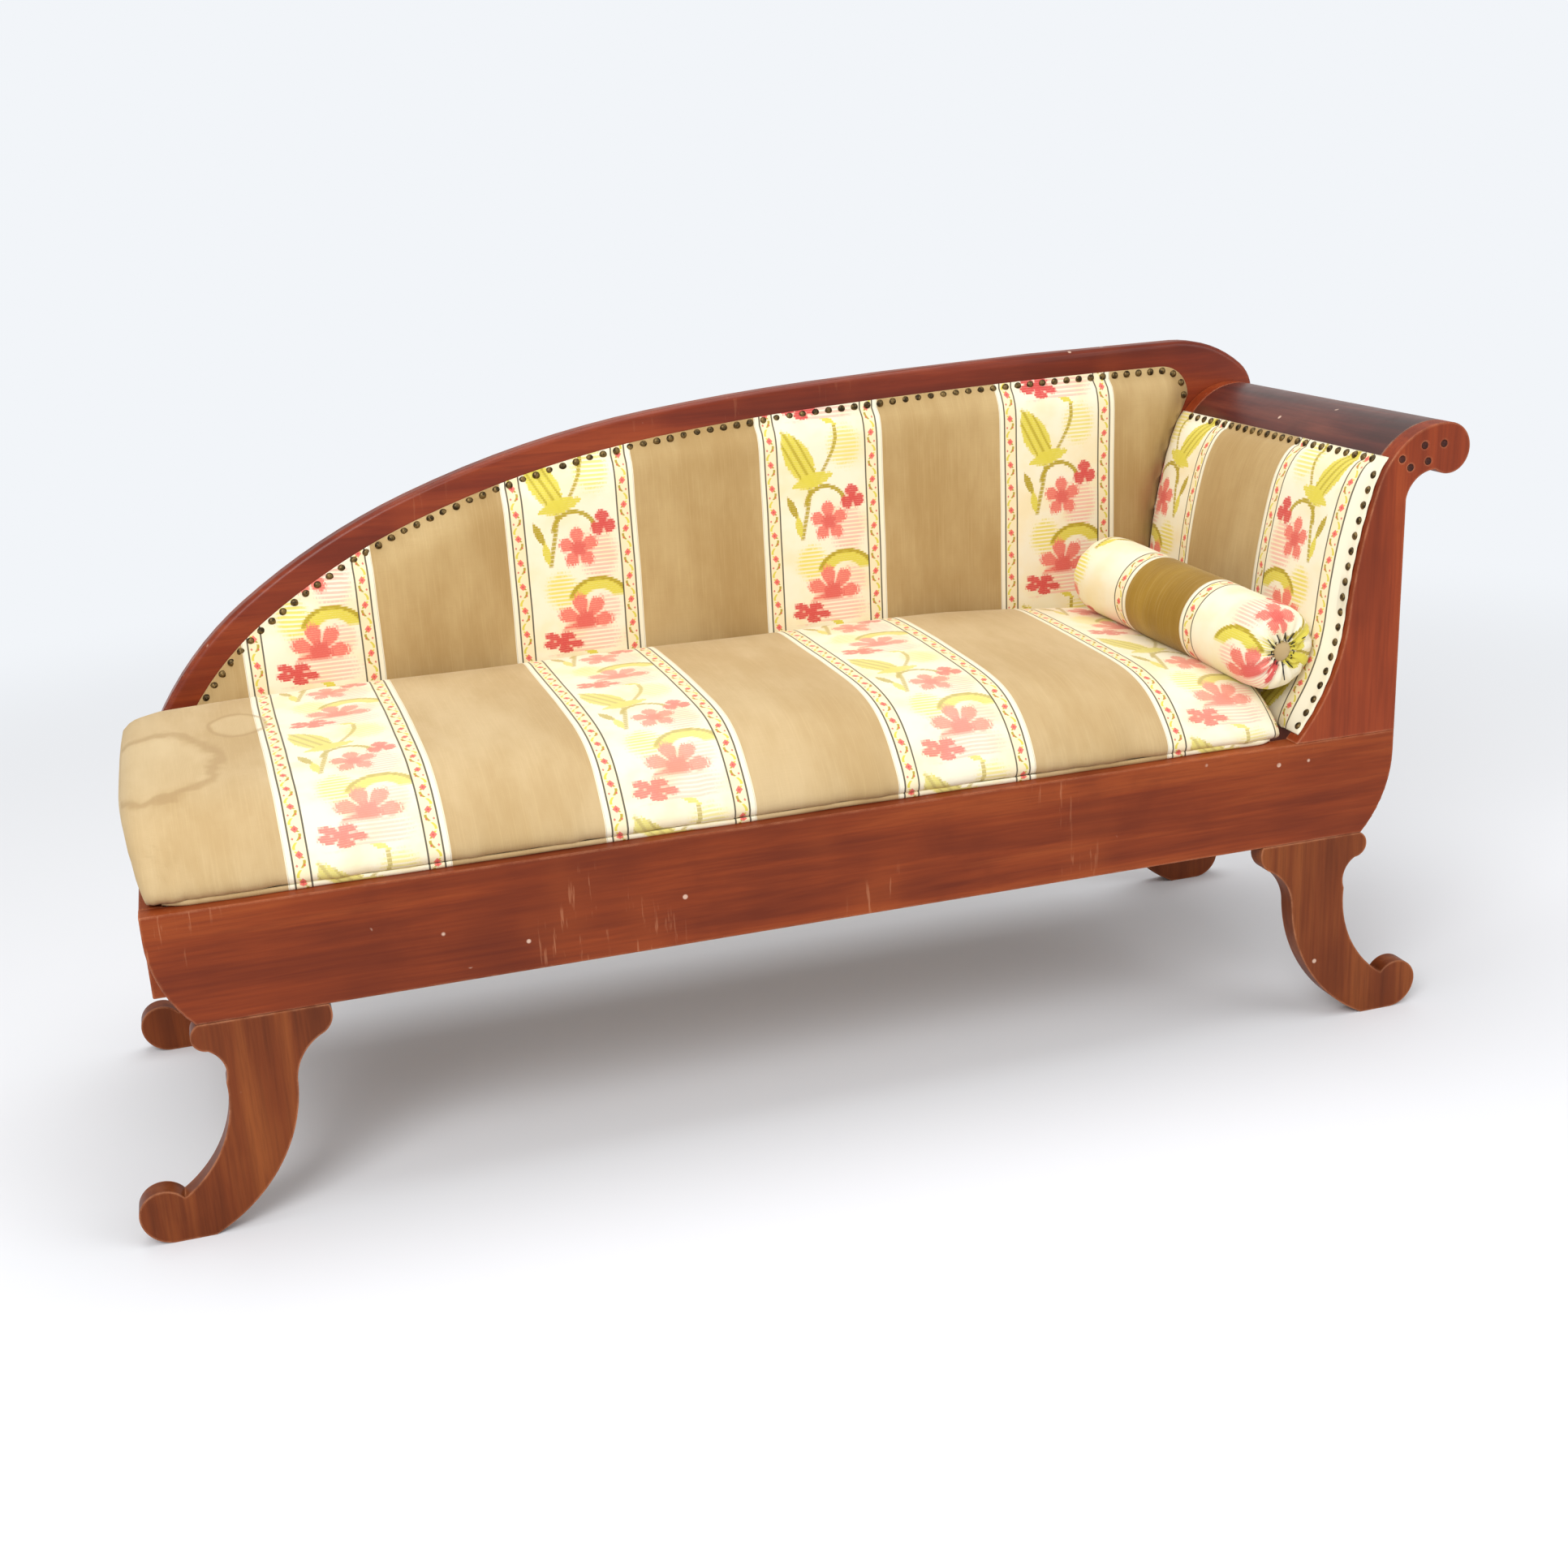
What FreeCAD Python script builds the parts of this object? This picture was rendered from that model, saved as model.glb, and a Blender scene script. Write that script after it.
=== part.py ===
import FreeCAD, Part
import math
import os
from collections import namedtuple

from FreeCAD import Placement, Rotation, Vector

# A recamier: a one-armed day bed on four sabre legs, with a rising crest along the back,
# a scrolled arm at the right-hand end, a webbed seat that lifts out, a loose cushion and a bolster.
# Millimetres. Left and right are as seen from the front. Before it is placed, a point is given as
# x from the middle between the legs, y back from the front boards' faces, z up from the floor.

SIZES = (
    # show-wood frame
    ("depth", 585, "front boards' faces to rear boards' faces"),
    ("board", 28, "thickness of rails, legs, arm boards and crest"),
    ("rail_length", 1632, "front and rear rails, end to end"),
    ("rail_height", 141, "front and rear rails"),
    ("rail_corner", 165, "radius of the rails' rounded lower corners"),
    ("corner_rise", 112, "height of the rounded lower corners"),
    ("corner_block", 62, "legs of the glued corner blocks"),
    ("worn_edge", 1.5, "softened edges of the rails"),
    # legs
    ("leg_height", 273, "floor to the rails' lower edges"),
    ("foot_over", 24, "foot scroll's centre out past the rail's end"),
    ("leg_top", 150, "width of a leg under its rail"),
    ("leg_inset", 69, "foot scroll's centre to the outer side of the leg's top"),
    ("foot_radius", 30, "foot's scroll"),
    ("dowel", 10, "dowel diameter"),
    ("dowel_length", 80, "half in the leg, half in the rail"),
    ("dowel_play", 0.2, "bore diameter over the dowel's"),
    # arm
    ("arm_foot", 150, "length of an arm board's foot on the rail"),
    ("arm_height", 409, "rail top to the top of the arm's scroll"),
    ("scroll_radius", 33, "arm scroll"),
    ("scroll_over", 61, "arm scroll's centre out past the rail's end"),
    ("arm_panel", 10, "outer panel of the arm"),
    ("panel_drop", 62, "arm scroll's centre down to the top of the outer panel"),
    ("arm_backing", 8, "flat stuffing behind the boards' edges"),
    ("arm_puff", 14, "arm stuffing in front of the boards' edges"),
    ("slat_thick", 20, "hidden slats of arm and back"),
    ("slat_width", 50, "hidden slats of arm and back"),
    # crest and back
    ("crest_rise", 476, "rail top to the highest point of the crest"),
    ("crest_show", 36, "show wood above the back's cloth"),
    ("crest_lap", 24, "crest behind the back's stuffing"),
    ("crest_round", 9, "rounding of the crest's front edge"),
    ("crest_reach", 98, "crest's end out past the rail's end"),
    ("back_recess", 2, "hidden back frame behind the crest's face"),
    ("back_puff", 21, "stuffing in front of the crest's face"),
    ("back_corner", 46, "radius of the back cloth's corner beside the arm"),
    ("back_short", 17, "back cloth's side short of the rail's end and of the arm's edge"),
    ("stile_width", 56, "hidden stile between the rear rail and the crest"),
    ("stile_drop", 145, "crest's highest point down to the stile's top"),
    ("pad_low", 10, "rail top to the lower edge of the arm's and the back's cloth"),
    # seat
    ("ledger_width", 20, "front batten that carries the seat"),
    ("rear_ledger_width", 44, "rear batten, which reaches in under the seat"),
    ("ledger_height", 24, "battens that carry the seat"),
    ("seat_drop", 40, "rail top down to the seat frame's lower face"),
    ("seat_bar", 60, "width of the seat frame's bars"),
    ("seat_thick", 24, "thickness of the seat frame's bars"),
    ("seat_play", 4, "seat frame to the left end rail"),
    ("seat_front_play", 6, "seat frame to the front rail"),
    ("seat_back_play", 3, "seat frame to the back's stuffing, which it passes as it lifts"),
    ("seat_short", 18, "seat frame short of the arm's foot"),
    ("deck_round", 5, "rounded upper edges of the stuffed seat"),
    ("web_width", 50, "webbing"),
    ("web_thick", 1.5, "webbing"),
    ("cloth", 1.5, "upholstery cloth with its lining"),
    # loose pieces
    ("cushion_short", 13, "cushion's right end short of the arm's foot"),
    ("cushion_over", 9, "cushion out past the rails' left end"),
    ("cushion_front", 14, "front boards' faces to the cushion's front"),
    ("cushion_back_play", 4, "cushion to the back's stuffing"),
    ("cushion_thick", 119, "cushion along its middle"),
    ("cushion_crown", 7, "rise of the cushion's top across its middle"),
    ("bolster_radius", 58, "bolster"),
    ("bolster_front", 28, "front boards' faces to the bolster's near end"),
    ("bolster_short", 145, "bolster shorter than the frame is deep"),
    ("bolster_inward", 98, "rail's end to the right side of the bolster's near end"),
    ("bolster_skew", 55, "bolster's far end to the left of its near end"),
    ("bolster_lift", 34, "bolster's far end above its near end"),
    ("bolster_sink", 56, "near end's underside below the cushion's top"),
    ("bolster_hollow", 9, "how far the bolster's ends are drawn in"),
    ("button_radius", 12, "covered buttons in the bolster's ends"),
    ("rest_gap", 0.3, "between a loose soft piece and what it lies on"),
    # nails and screws
    ("nail_head", 11, "diameter of a domed nail's head"),
    ("nail_rise", 3.4, "height of a domed nail's head"),
    ("nail_pitch", 20, "distance between nails"),
    ("nail_length", 12, "shank of a domed nail"),
    ("plug", 9, "diameter of the wooden plugs over the arm's screws"),
    ("plug_depth", 6, "thickness of a plug"),
    ("screw", 4.5, "diameter of the hidden wood screws"),
    ("screw_length", 45, "hidden wood screws"),
)

doc = FreeCAD.newDocument("recamier")
S = doc.addObject("Spreadsheet::Sheet", "Sizes")
for row, (alias, size, note) in enumerate(SIZES, start=1):
    S.set(f"A{row}", note)
    S.set(f"B{row}", str(size))
    S.setAlias(f"B{row}", alias)
doc.recompute()

rail_end = S.rail_length / 2
rail_top = S.leg_height + S.rail_height
rear_face = S.depth - S.board
leg_stand = rail_end + S.foot_over
origin_x = (S.crest_reach - S.foot_over - S.foot_radius) / 2
origin = Vector(-origin_x, -S.depth / 2, 0)
quarter = math.sqrt(0.5)
parts = []

# Curves in a board's own plane. An arc starts out along heading, and turn is half the angle that it bends by.
Arc = namedtuple("Arc", "start end heading turn")


def arc_to(start, heading, end):
    chord = math.atan2(end[1] - start[1], end[0] - start[0])
    turn = math.remainder(chord - heading, 2 * math.pi)
    return Arc(start, end, heading, turn)


# Arcs that run smoothly into each other through the given points
def sweep(start, heading, *ends):
    arcs = []
    for end in ends:
        arcs.append(arc_to(start, heading, end))
        heading += 2 * arcs[-1].turn
        start = end
    return arcs


def end_heading(arcs):
    return arcs[-1].heading + 2 * arcs[-1].turn


def radius_of(arc):
    return math.dist(arc.start, arc.end) / (2 * math.sin(arc.turn))


# The point at a share of an arc's length, moved aside to its left
def point_on(arc, share, off=0.0):
    radius = radius_of(arc)
    centre_x = arc.start[0] - radius * math.sin(arc.heading)
    centre_z = arc.start[1] + radius * math.cos(arc.heading)
    heading = arc.heading + 2 * arc.turn * share
    reach = radius - off
    return centre_x + reach * math.sin(heading), centre_z - reach * math.cos(heading)


def aside(arcs, distance):
    return [Arc(point_on(a, 0, distance), point_on(a, 1, distance), a.heading, a.turn) for a in arcs]


def back_along(arcs):
    return [Arc(a.end, a.start, a.heading + 2 * a.turn + math.pi, -a.turn) for a in reversed(arcs)]


# The share of an arc's length at which it stands at a height
def share_at(arc, height):
    low, high = 0.0, 1.0
    rising = arc.end[1] > arc.start[1]
    for _ in range(60):
        middle = (low + high) / 2
        below = point_on(arc, middle)[1] < height
        low, high = (middle, high) if below == rising else (low, middle)
    return low


def cut_before(arc, share):
    return Arc(point_on(arc, share), arc.end, arc.heading + 2 * arc.turn * share, arc.turn * (1 - share))


def cut_after(arc, share):
    return Arc(arc.start, point_on(arc, share), arc.heading, arc.turn * share)


def length_of(arc):
    return abs(2 * arc.turn * radius_of(arc))


# The first of some rising arcs, as far as a height
def up_to(arcs, height):
    kept = [a for a in arcs if a.end[1] < height]
    return kept + [cut_after(a, share_at(a, height)) for a in arcs[len(kept):len(kept) + 1]]


# Points evenly spaced along arcs, with their headings
def spaced(arcs, pitch, off=0.0):
    total = sum(length_of(a) for a in arcs)
    count = max(1, round(total / pitch))
    places = []
    for step in range(count + 1):
        left = total * step / count
        for a in arcs:
            if left <= length_of(a) or a is arcs[-1]:
                share = min(1.0, left / length_of(a))
                places.append((point_on(a, share, off), a.heading + 2 * a.turn * share))
                break
            left -= length_of(a)
    return places


# A closed outline from arcs and corner points, in the order in which they are met.
# Corner points are joined by straight lines.
def outline(items, lay):
    edges = []
    first = items[0].start if isinstance(items[0], Arc) else items[0]
    here = first
    for item in items + [first]:
        start = item.start if isinstance(item, Arc) else item
        if math.dist(here, start) > 1e-6:
            edges.append(Part.LineSegment(lay(here), lay(start)))
        here = start
        if isinstance(item, Arc):
            edges.append(Part.Arc(lay(item.start), lay(point_on(item, 0.5)), lay(item.end)))
            here = item.end
    return edges


def upright_face(items, y=0.0):
    edges = outline(items, lambda p: Vector(p[0], y, p[1]))
    return Part.Face(Part.Wire([e.toShape() for e in edges]))


def upright_slab(items, y, thickness):
    return upright_face(items, y).extrude(Vector(0, thickness, 0))


# Making and placing sub-parts
def keep(piece, label):
    piece.Label = label
    parts.append(piece)
    return piece


def place(piece, x, y, z):
    middle = "(Sizes.crest_reach - Sizes.foot_over - Sizes.foot_radius) / 2"
    piece.setExpression("Placement.Base.x", f"{x} - {middle}")
    piece.setExpression("Placement.Base.y", f"{y} - Sizes.depth / 2")
    piece.setExpression("Placement.Base.z", f"{z}")


# A squared bar. Its sizes and its lowest corner are expressions on the sheet.
def bar(label, length, width, height, x, y, z):
    box = doc.addObject("Part::Box", label)
    box.setExpression("Length", length)
    box.setExpression("Width", width)
    box.setExpression("Height", height)
    place(box, x, y, z)
    return keep(box, label)


# A sub-part whose form is lofted, turned or repeated
def shaped(label, shape):
    piece = doc.addObject("Part::Feature", label)
    piece.Shape = shape
    piece.Placement = Placement(origin, Rotation()) * shape.Placement
    return keep(piece, label)


def origin_plane(body, role):
    return next(o for o in body.Origin.OriginFeatures if o.Role == role)


def sketch_on(body, role, edges, lift=0.0):
    sketch = body.newObject("Sketcher::SketchObject", body.Label + "_outline")
    sketch.AttachmentSupport = [(origin_plane(body, role), "")]
    sketch.MapMode = "FlatFace"
    sketch.AttachmentOffset = Placement(Vector(0, 0, lift), Rotation())
    sketch.addGeometry(edges, False)
    return sketch


def soften(body, base, radius, wanted):
    doc.recompute()
    names = [f"Edge{n}" for n, edge in enumerate(base.Shape.Edges, start=1) if wanted(edge)]
    fillet = body.newObject("PartDesign::Fillet", body.Label + "_softened")
    fillet.Base = (base, names)
    fillet.setExpression("Radius", radius)
    return fillet


# A board cut to an outline and padded back from y by its thickness
def board(label, items, y, x="0"):
    body = doc.addObject("PartDesign::Body", label)
    sketch = sketch_on(body, "XZ_Plane", outline(items, lambda p: Vector(p[0], p[1], 0)))
    pad = body.newObject("PartDesign::Pad", label + "_board")
    pad.Profile = sketch
    pad.setExpression("Length", "Sizes.board")
    pad.Reversed = True
    place(body, x, y, "0")
    return keep(body, label), pad


def on_face(y):
    return lambda edge: all(abs(v.Y - y) < 1e-4 for v in edge.Vertexes)


def on_faces(edge):
    return on_face(0)(edge) or on_face(S.board)(edge)


# Vertical bores for dowels, from the level where leg and rail meet
def bore(body, places, upward):
    doc.recompute()
    before = body.Shape.Volume
    radius = (S.dowel + S.dowel_play) / 2
    circles = [Part.Circle(Vector(x, y, 0), Vector(0, 0, 1), radius) for x, y in places]
    sketch = sketch_on(body, "XY_Plane", circles, S.leg_height)
    pocket = body.newObject("PartDesign::Pocket", body.Label + "_bores")
    pocket.Profile = sketch
    pocket.setExpression("Length", "Sizes.dowel_length / 2 + 1")
    pocket.Reversed = upward
    doc.recompute()
    assert body.Shape.Volume < before - 1000, body.Label + " has no dowel bores"


# Rails: two long boards with rounded lower corners, tied by end rails and a cross rail
def rail_outline():
    low = S.leg_height
    corner_top = low + S.corner_rise
    bend = S.rail_corner - math.sqrt(S.rail_corner ** 2 - S.corner_rise ** 2)
    right = arc_to((rail_end - bend, low), math.acos(S.corner_rise / S.rail_corner), (rail_end, corner_top))
    left = arc_to((-rail_end, corner_top), -math.pi / 2, (bend - rail_end, low))
    return [left, right, (rail_end, rail_top), (-rail_end, rail_top)]


# Where the dowels of a leg stand, as measured from the middle of its foot's scroll
def dowel_places(side):
    return [(-side * (S.leg_inset + S.leg_top * share), S.board / 2) for share in (0.26, 0.74)]


def all_dowel_places():
    return [(side * leg_stand + x, y) for side in (-1, 1) for x, y in dowel_places(side)]


def make_rails():
    seat_right = "Sizes.rail_length / 2 - Sizes.arm_foot - Sizes.seat_short"
    for label, y in (("front_rail", "0"), ("rear_rail", "Sizes.depth - Sizes.board")):
        body, pad = board(label, rail_outline(), y)
        soften(body, pad, "Sizes.worn_edge", on_faces)
        bore(body, all_dowel_places(), upward=True)
    between = "Sizes.depth - 2 * Sizes.board"
    low = "Sizes.leg_height + Sizes.rail_height - Sizes.corner_rise"
    for label, x in (("left_end_rail", "-Sizes.rail_length / 2"),
                     ("right_end_rail", "Sizes.rail_length / 2 - Sizes.board")):
        bar(label, "Sizes.board", between, "Sizes.corner_rise", x, "Sizes.board", low)
    bar("cross_rail", "Sizes.board", between, "Sizes.seat_bar", seat_right + " - Sizes.board",
        "Sizes.board", "Sizes.leg_height + Sizes.rail_height - Sizes.seat_drop - Sizes.seat_bar")


# Sabre legs: a scrolled foot, a long swept curve and a small lip under the rail.
# Points are x out from the middle of the foot's scroll, and z.
def leg_outline(side):
    top = S.leg_height
    outer = -S.leg_inset
    inner = outer - S.leg_top
    centre = S.foot_radius + 7
    notch = (-25, 56)
    lip = arc_to((outer, top), math.radians(-25), (outer - 7, top - 35))
    cove = arc_to(lip.end, math.radians(-150), (-91, top - 78))
    sweep_out = arc_to(cove.end, math.radians(-95), notch)
    scroll = sweep(notch, math.radians(55), (0, centre + 32), (S.foot_radius, centre), (-9, 0))
    sole = (-54, 0)
    sweep_in = arc_to(sole, math.radians(154), (-172, top - 95))
    inner_cove = arc_to(sweep_in.end, math.radians(90), (inner + 9, top - 35))
    inner_lip = arc_to(inner_cove.end, math.radians(145), (inner, top))
    curves = [lip, cove, sweep_out, *scroll, sole, sweep_in, inner_cove, inner_lip]
    return [on_side(curve, side) for curve in curves]


def on_side(item, side):
    if side > 0:
        return item
    if not isinstance(item, Arc):
        return -item[0], item[1]
    start, end = [(-x, z) for x, z in (item.start, item.end)]
    return Arc(start, end, math.pi - item.heading, -item.turn)


def make_legs():
    rows = (("front", "0"), ("rear", "Sizes.depth - Sizes.board"))
    for row, y in rows:
        for name, side in (("left", -1), ("right", 1)):
            x = f"{side} * (Sizes.rail_length / 2 + Sizes.foot_over)"
            body, _ = board(f"{row}_{name}_leg", leg_outline(side), y, x)
            bore(body, dowel_places(side), upward=False)
    dowels = []
    for y in (0, rear_face):
        for x, inset in all_dowel_places():
            foot = Vector(x, y + inset, S.leg_height - S.dowel_length / 2)
            dowels.append(Part.makeCylinder(S.dowel / 2, S.dowel_length, foot))
    shaped("leg_dowels", Part.makeCompound(dowels))


# Arm: two scrolled boards with a wooden roll, an outer panel and slats between them
scroll_x = rail_end + S.scroll_over
scroll_z = rail_top + S.arm_height - S.scroll_radius
foot_x = rail_end - S.arm_foot
arm_front = S.board
arm_rear = rear_face - S.board
cloth_top = scroll_z - 7
cloth_front = 9
edge_strip = 13


# The edge that the arm's cloth follows, from the rail up to the top of the scroll
def arm_edge():
    waist = (foot_x + 73, rail_top + 166)
    shoulder = (scroll_x - 102, scroll_z - 41)
    brow = (scroll_x - 57, scroll_z + 18)
    crown = (scroll_x, scroll_z + S.scroll_radius)
    return sweep((foot_x, rail_top), math.radians(48), waist, shoulder, brow, crown)


def on_scroll(degrees):
    turn = math.radians(degrees)
    return scroll_x + S.scroll_radius * math.cos(turn), scroll_z + S.scroll_radius * math.sin(turn)


def scroll_underside():
    nose, under = sweep(on_scroll(90), end_heading(arm_edge()), on_scroll(-45), on_scroll(-126))
    neck = arc_to(under.end, math.pi, (rail_end, scroll_z - S.panel_drop))
    return [nose, under, neck]


def arm_outline():
    return arm_edge() + scroll_underside() + [(rail_end, rail_top)]


# The part of the arm's edge that is upholstered: above the seat, and short of the roll
def arm_cloth_edge():
    low, middle, high, _ = arm_edge()
    low = cut_before(low, share_at(low, rail_top + S.pad_low))
    high = cut_after(high, share_at(high, cloth_top))
    return [low, middle, high]


# A layer along that edge, between two distances out from it
def arm_layer(inner, outer, y, thickness, short=0.0):
    edge = arm_cloth_edge()
    edge[2] = cut_after(edge[2], 1 - short / length_of(edge[2]))
    return upright_slab(aside(edge, outer) + back_along(aside(edge, inner)), y, thickness)


# The stuffed part of the arm: full in the middle, drawn down to the cloth's edges all round.
# Sections across the arm, each a share of its span with a share of its fullness there.
def arm_stuffing_form(inset):
    front = arm_front - 2
    span = rear_face - 3 - front
    edge = arm_cloth_edge()
    edge[0] = cut_before(edge[0], (4 + inset) / length_of(edge[0]))
    edge[2] = cut_after(edge[2], 1 - (edge_strip + inset) / length_of(edge[2]))
    thin = S.cloth + 0.5 - inset
    sections = ((0.0, 0.2), (0.05, 0.7), (0.2, 0.95), (0.5, 1.0), (0.8, 0.95), (0.95, 0.7), (1.0, 0.2))
    wires = []
    for share, fullness in sections:
        y = front + inset + (span - 2 * inset) * share
        puff = max(fullness * S.arm_puff - inset, thin)
        low, middle, high = aside(edge, puff)
        high = arc_to(high.start, high.heading, point_on(edge[2], 1, thin))
        low = back_along([low])[0]
        low = back_along([arc_to(low.start, low.heading, point_on(edge[0], 0, thin))])[0]
        rear = back_along(aside(edge, -2 + inset))
        edges = outline([low, middle, high] + rear, lambda p: Vector(p[0], y, p[1]))
        wires.append(Part.Wire([e.toShape() for e in edges]))
    return Part.makeLoft(wires, True, False)


def make_arm():
    for label, y in (("arm_front_board", "0"), ("arm_rear_board", "Sizes.depth - 2 * Sizes.board")):
        body, _ = board(label, arm_outline(), y)
        if label == "arm_front_board":
            bore_for_plugs(body)
    low, middle, shoulder, brow = arm_edge()
    shoulder = cut_before(shoulder, share_at(shoulder, cloth_top) - edge_strip / length_of(shoulder))
    under_cloth = point_on(shoulder, 0, -S.arm_backing - S.web_thick - 1)
    roll = [shoulder, brow] + scroll_underside() + [under_cloth]
    shaped("arm_roll", upright_slab(roll, arm_front, arm_rear - arm_front))
    height = "Sizes.arm_height - Sizes.scroll_radius - Sizes.panel_drop"
    bar("arm_outer_panel", "Sizes.arm_panel", "Sizes.depth - 3 * Sizes.board", height,
        "Sizes.rail_length / 2 - Sizes.arm_panel", "Sizes.board", "Sizes.leg_height + Sizes.rail_height")
    make_arm_slats()
    back_of_web = -S.arm_backing - S.rest_gap - S.web_thick
    span = arm_rear - arm_front
    straps = []
    for n in range(5):
        y = arm_front + span * (n + 0.5) / 5 - S.web_width / 2
        straps.append(arm_layer(back_of_web, back_of_web + S.web_thick, y, S.web_width, edge_strip + 1))
    shaped("arm_webbing", Part.makeCompound(straps))
    backing = arm_layer(-S.arm_backing, 0, arm_front, span, edge_strip + 1)
    puff = arm_stuffing_form(S.cloth)
    filling = backing.fuse(puff.cut(arm_layer(-S.arm_backing, 0, 0, S.depth)))
    cloth = arm_layer(0, S.cloth, cloth_front, rear_face - 1 - cloth_front)
    cover = cloth.fuse(arm_stuffing_form(0)).cut(filling).cut(arm_layer(-S.arm_backing, 0, 0, S.depth))
    shaped("arm_stuffing", filling.removeSplitter())
    shaped("arm_cover", cover.removeSplitter())


# Slats stand behind the webbing, which is tacked over their inner faces
def make_arm_slats():
    behind = -S.arm_backing - S.rest_gap - S.web_thick
    low, middle, _ = aside(arm_cloth_edge(), behind)
    for label, edge, height in (("arm_lower_slat", low, rail_top + S.pad_low),
                                ("arm_middle_slat", low, rail_top + 105),
                                ("arm_upper_slat", middle, scroll_z - 114)):
        edge = cut_after(edge, share_at(edge, height + S.slat_width))
        edge = cut_before(edge, share_at(edge, height))
        rear = edge.end[0] + S.slat_thick
        slat = [edge, (rear, edge.end[1]), (rear, edge.start[1])]
        shaped(label, upright_slab(slat, arm_front, arm_rear - arm_front))


# Wooden plugs over the screws that hold the front board to the roll, as measured from the scroll's centre
PLUGS = ((-70, -9), (-57, -21), (-37, 6), (-31, -15), (-8, 6))


def bore_for_plugs(body):
    doc.recompute()
    before = body.Shape.Volume
    spots = [Vector(scroll_x + x, scroll_z + z, 0) for x, z in PLUGS]
    circles = [Part.Circle(spot, Vector(0, 0, 1), (S.plug + S.dowel_play) / 2) for spot in spots]
    pocket = body.newObject("PartDesign::Pocket", body.Label + "_plug_bores")
    pocket.Profile = sketch_on(body, "XZ_Plane", circles)
    pocket.setExpression("Length", "Sizes.plug_depth")
    doc.recompute()
    assert body.Shape.Volume < before - 1000, body.Label + " has no plug bores"


def make_arm_fixings():
    plugs = []
    screws = []
    for x, z in PLUGS:
        spot = Vector(scroll_x + x, 0, scroll_z + z)
        plugs.append(Part.makeCylinder(S.plug / 2, S.plug_depth, spot, Vector(0, 1, 0)))
        spot.y = S.plug_depth
        screws.append(Part.makeCylinder(S.screw / 2, S.screw_length, spot, Vector(0, 1, 0)))
    shaped("arm_plugs", Part.makeCompound(plugs))
    shaped("arm_screws", Part.makeCompound(screws))


# Back: a crest board that sweeps down to the rail's left end, on a hidden frame
crest_high = rail_top + S.crest_rise
stile_top = crest_high - S.stile_drop
stile_left = rail_end - S.stile_width


# Upper edge of the crest, from its highest point down to the rear rail's left corner, through points
# given as shares of half the rail's length and of the crest's rise
def crest_edge():
    shares = [(0.232, 0.968), (-0.069, 0.924), (-0.504, 0.744), (-0.793, 0.477), (-1, 0)]
    ends = [(rail_end * x, rail_top + S.crest_rise * z) for x, z in shares]
    return sweep((rail_end * 0.956, crest_high), math.pi, *ends)


# An edge of the crest moved inwards and cut level with the rear rail's top
def crest_line(inward, level):
    arcs = aside(crest_edge(), inward)
    return arcs[:-1] + [cut_after(arcs[-1], share_at(arcs[-1], level))]


# The rounded end that drops behind the arm's scroll
def crest_lobe():
    start = crest_edge()[0].start
    tip = rail_end + S.crest_reach
    down = sweep(start, 0, (tip - 20, crest_high - 42), (tip, crest_high - 79))
    under = arc_to(down[-1].end, end_heading(down), (tip - 38, crest_high - 133))
    return down + [under]


# The crest's lower edge behind the cloth, or a line a play inside it, from the stile to the rail
def crest_underside(play=0.0):
    lower = crest_line(S.crest_show + S.crest_lap + play, rail_top + play)
    share, _ = place_along(lower[0], stile_left - play)
    lower[0] = cut_before(lower[0], share)
    return lower


def crest_outline():
    upper = back_along(crest_line(0, rail_top))
    return upper + crest_lobe() + [(rail_end, stile_top), (stile_left, stile_top)] + crest_underside()


# The back's cloth: down under the crest's show wood, up beside the arm, and round a small corner
def back_cloth_edges(inset):
    low = rail_top + S.pad_low + inset
    line = crest_line(S.crest_show + inset, low)
    bend = max(S.back_corner - inset, 6)
    corner_low = crest_high - S.crest_show - S.back_corner
    side = min(rail_end, up_to(arm_edge(), corner_low)[-1].end[0]) - S.back_short - inset
    share, height = place_along(line[0], side - bend)
    line[0] = cut_before(line[0], share)
    corner = arc_to((side, height - bend), math.pi / 2, line[0].start)
    beside = aside(arm_cloth_edge(), S.cloth + 1 + inset)
    beside[0] = cut_before(beside[0], share_at(beside[0], low))
    beside = up_to(beside, corner_low - 30)
    return line, beside, corner


def back_cloth_outline(inset):
    line, beside, corner = back_cloth_edges(inset)
    return line + beside + [corner]


# Where an arc that runs leftwards passes a place: its share there and its height
def place_along(arc, x):
    low, high = 0.0, 1.0
    for _ in range(50):
        middle = (low + high) / 2
        low, high = (middle, high) if point_on(arc, middle)[0] > x else (low, middle)
    return low, point_on(arc, low)[1]


def height_under(arcs, x):
    return place_along(next(a for a in arcs if a.end[0] <= x <= a.start[0]), x)[1]


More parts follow.
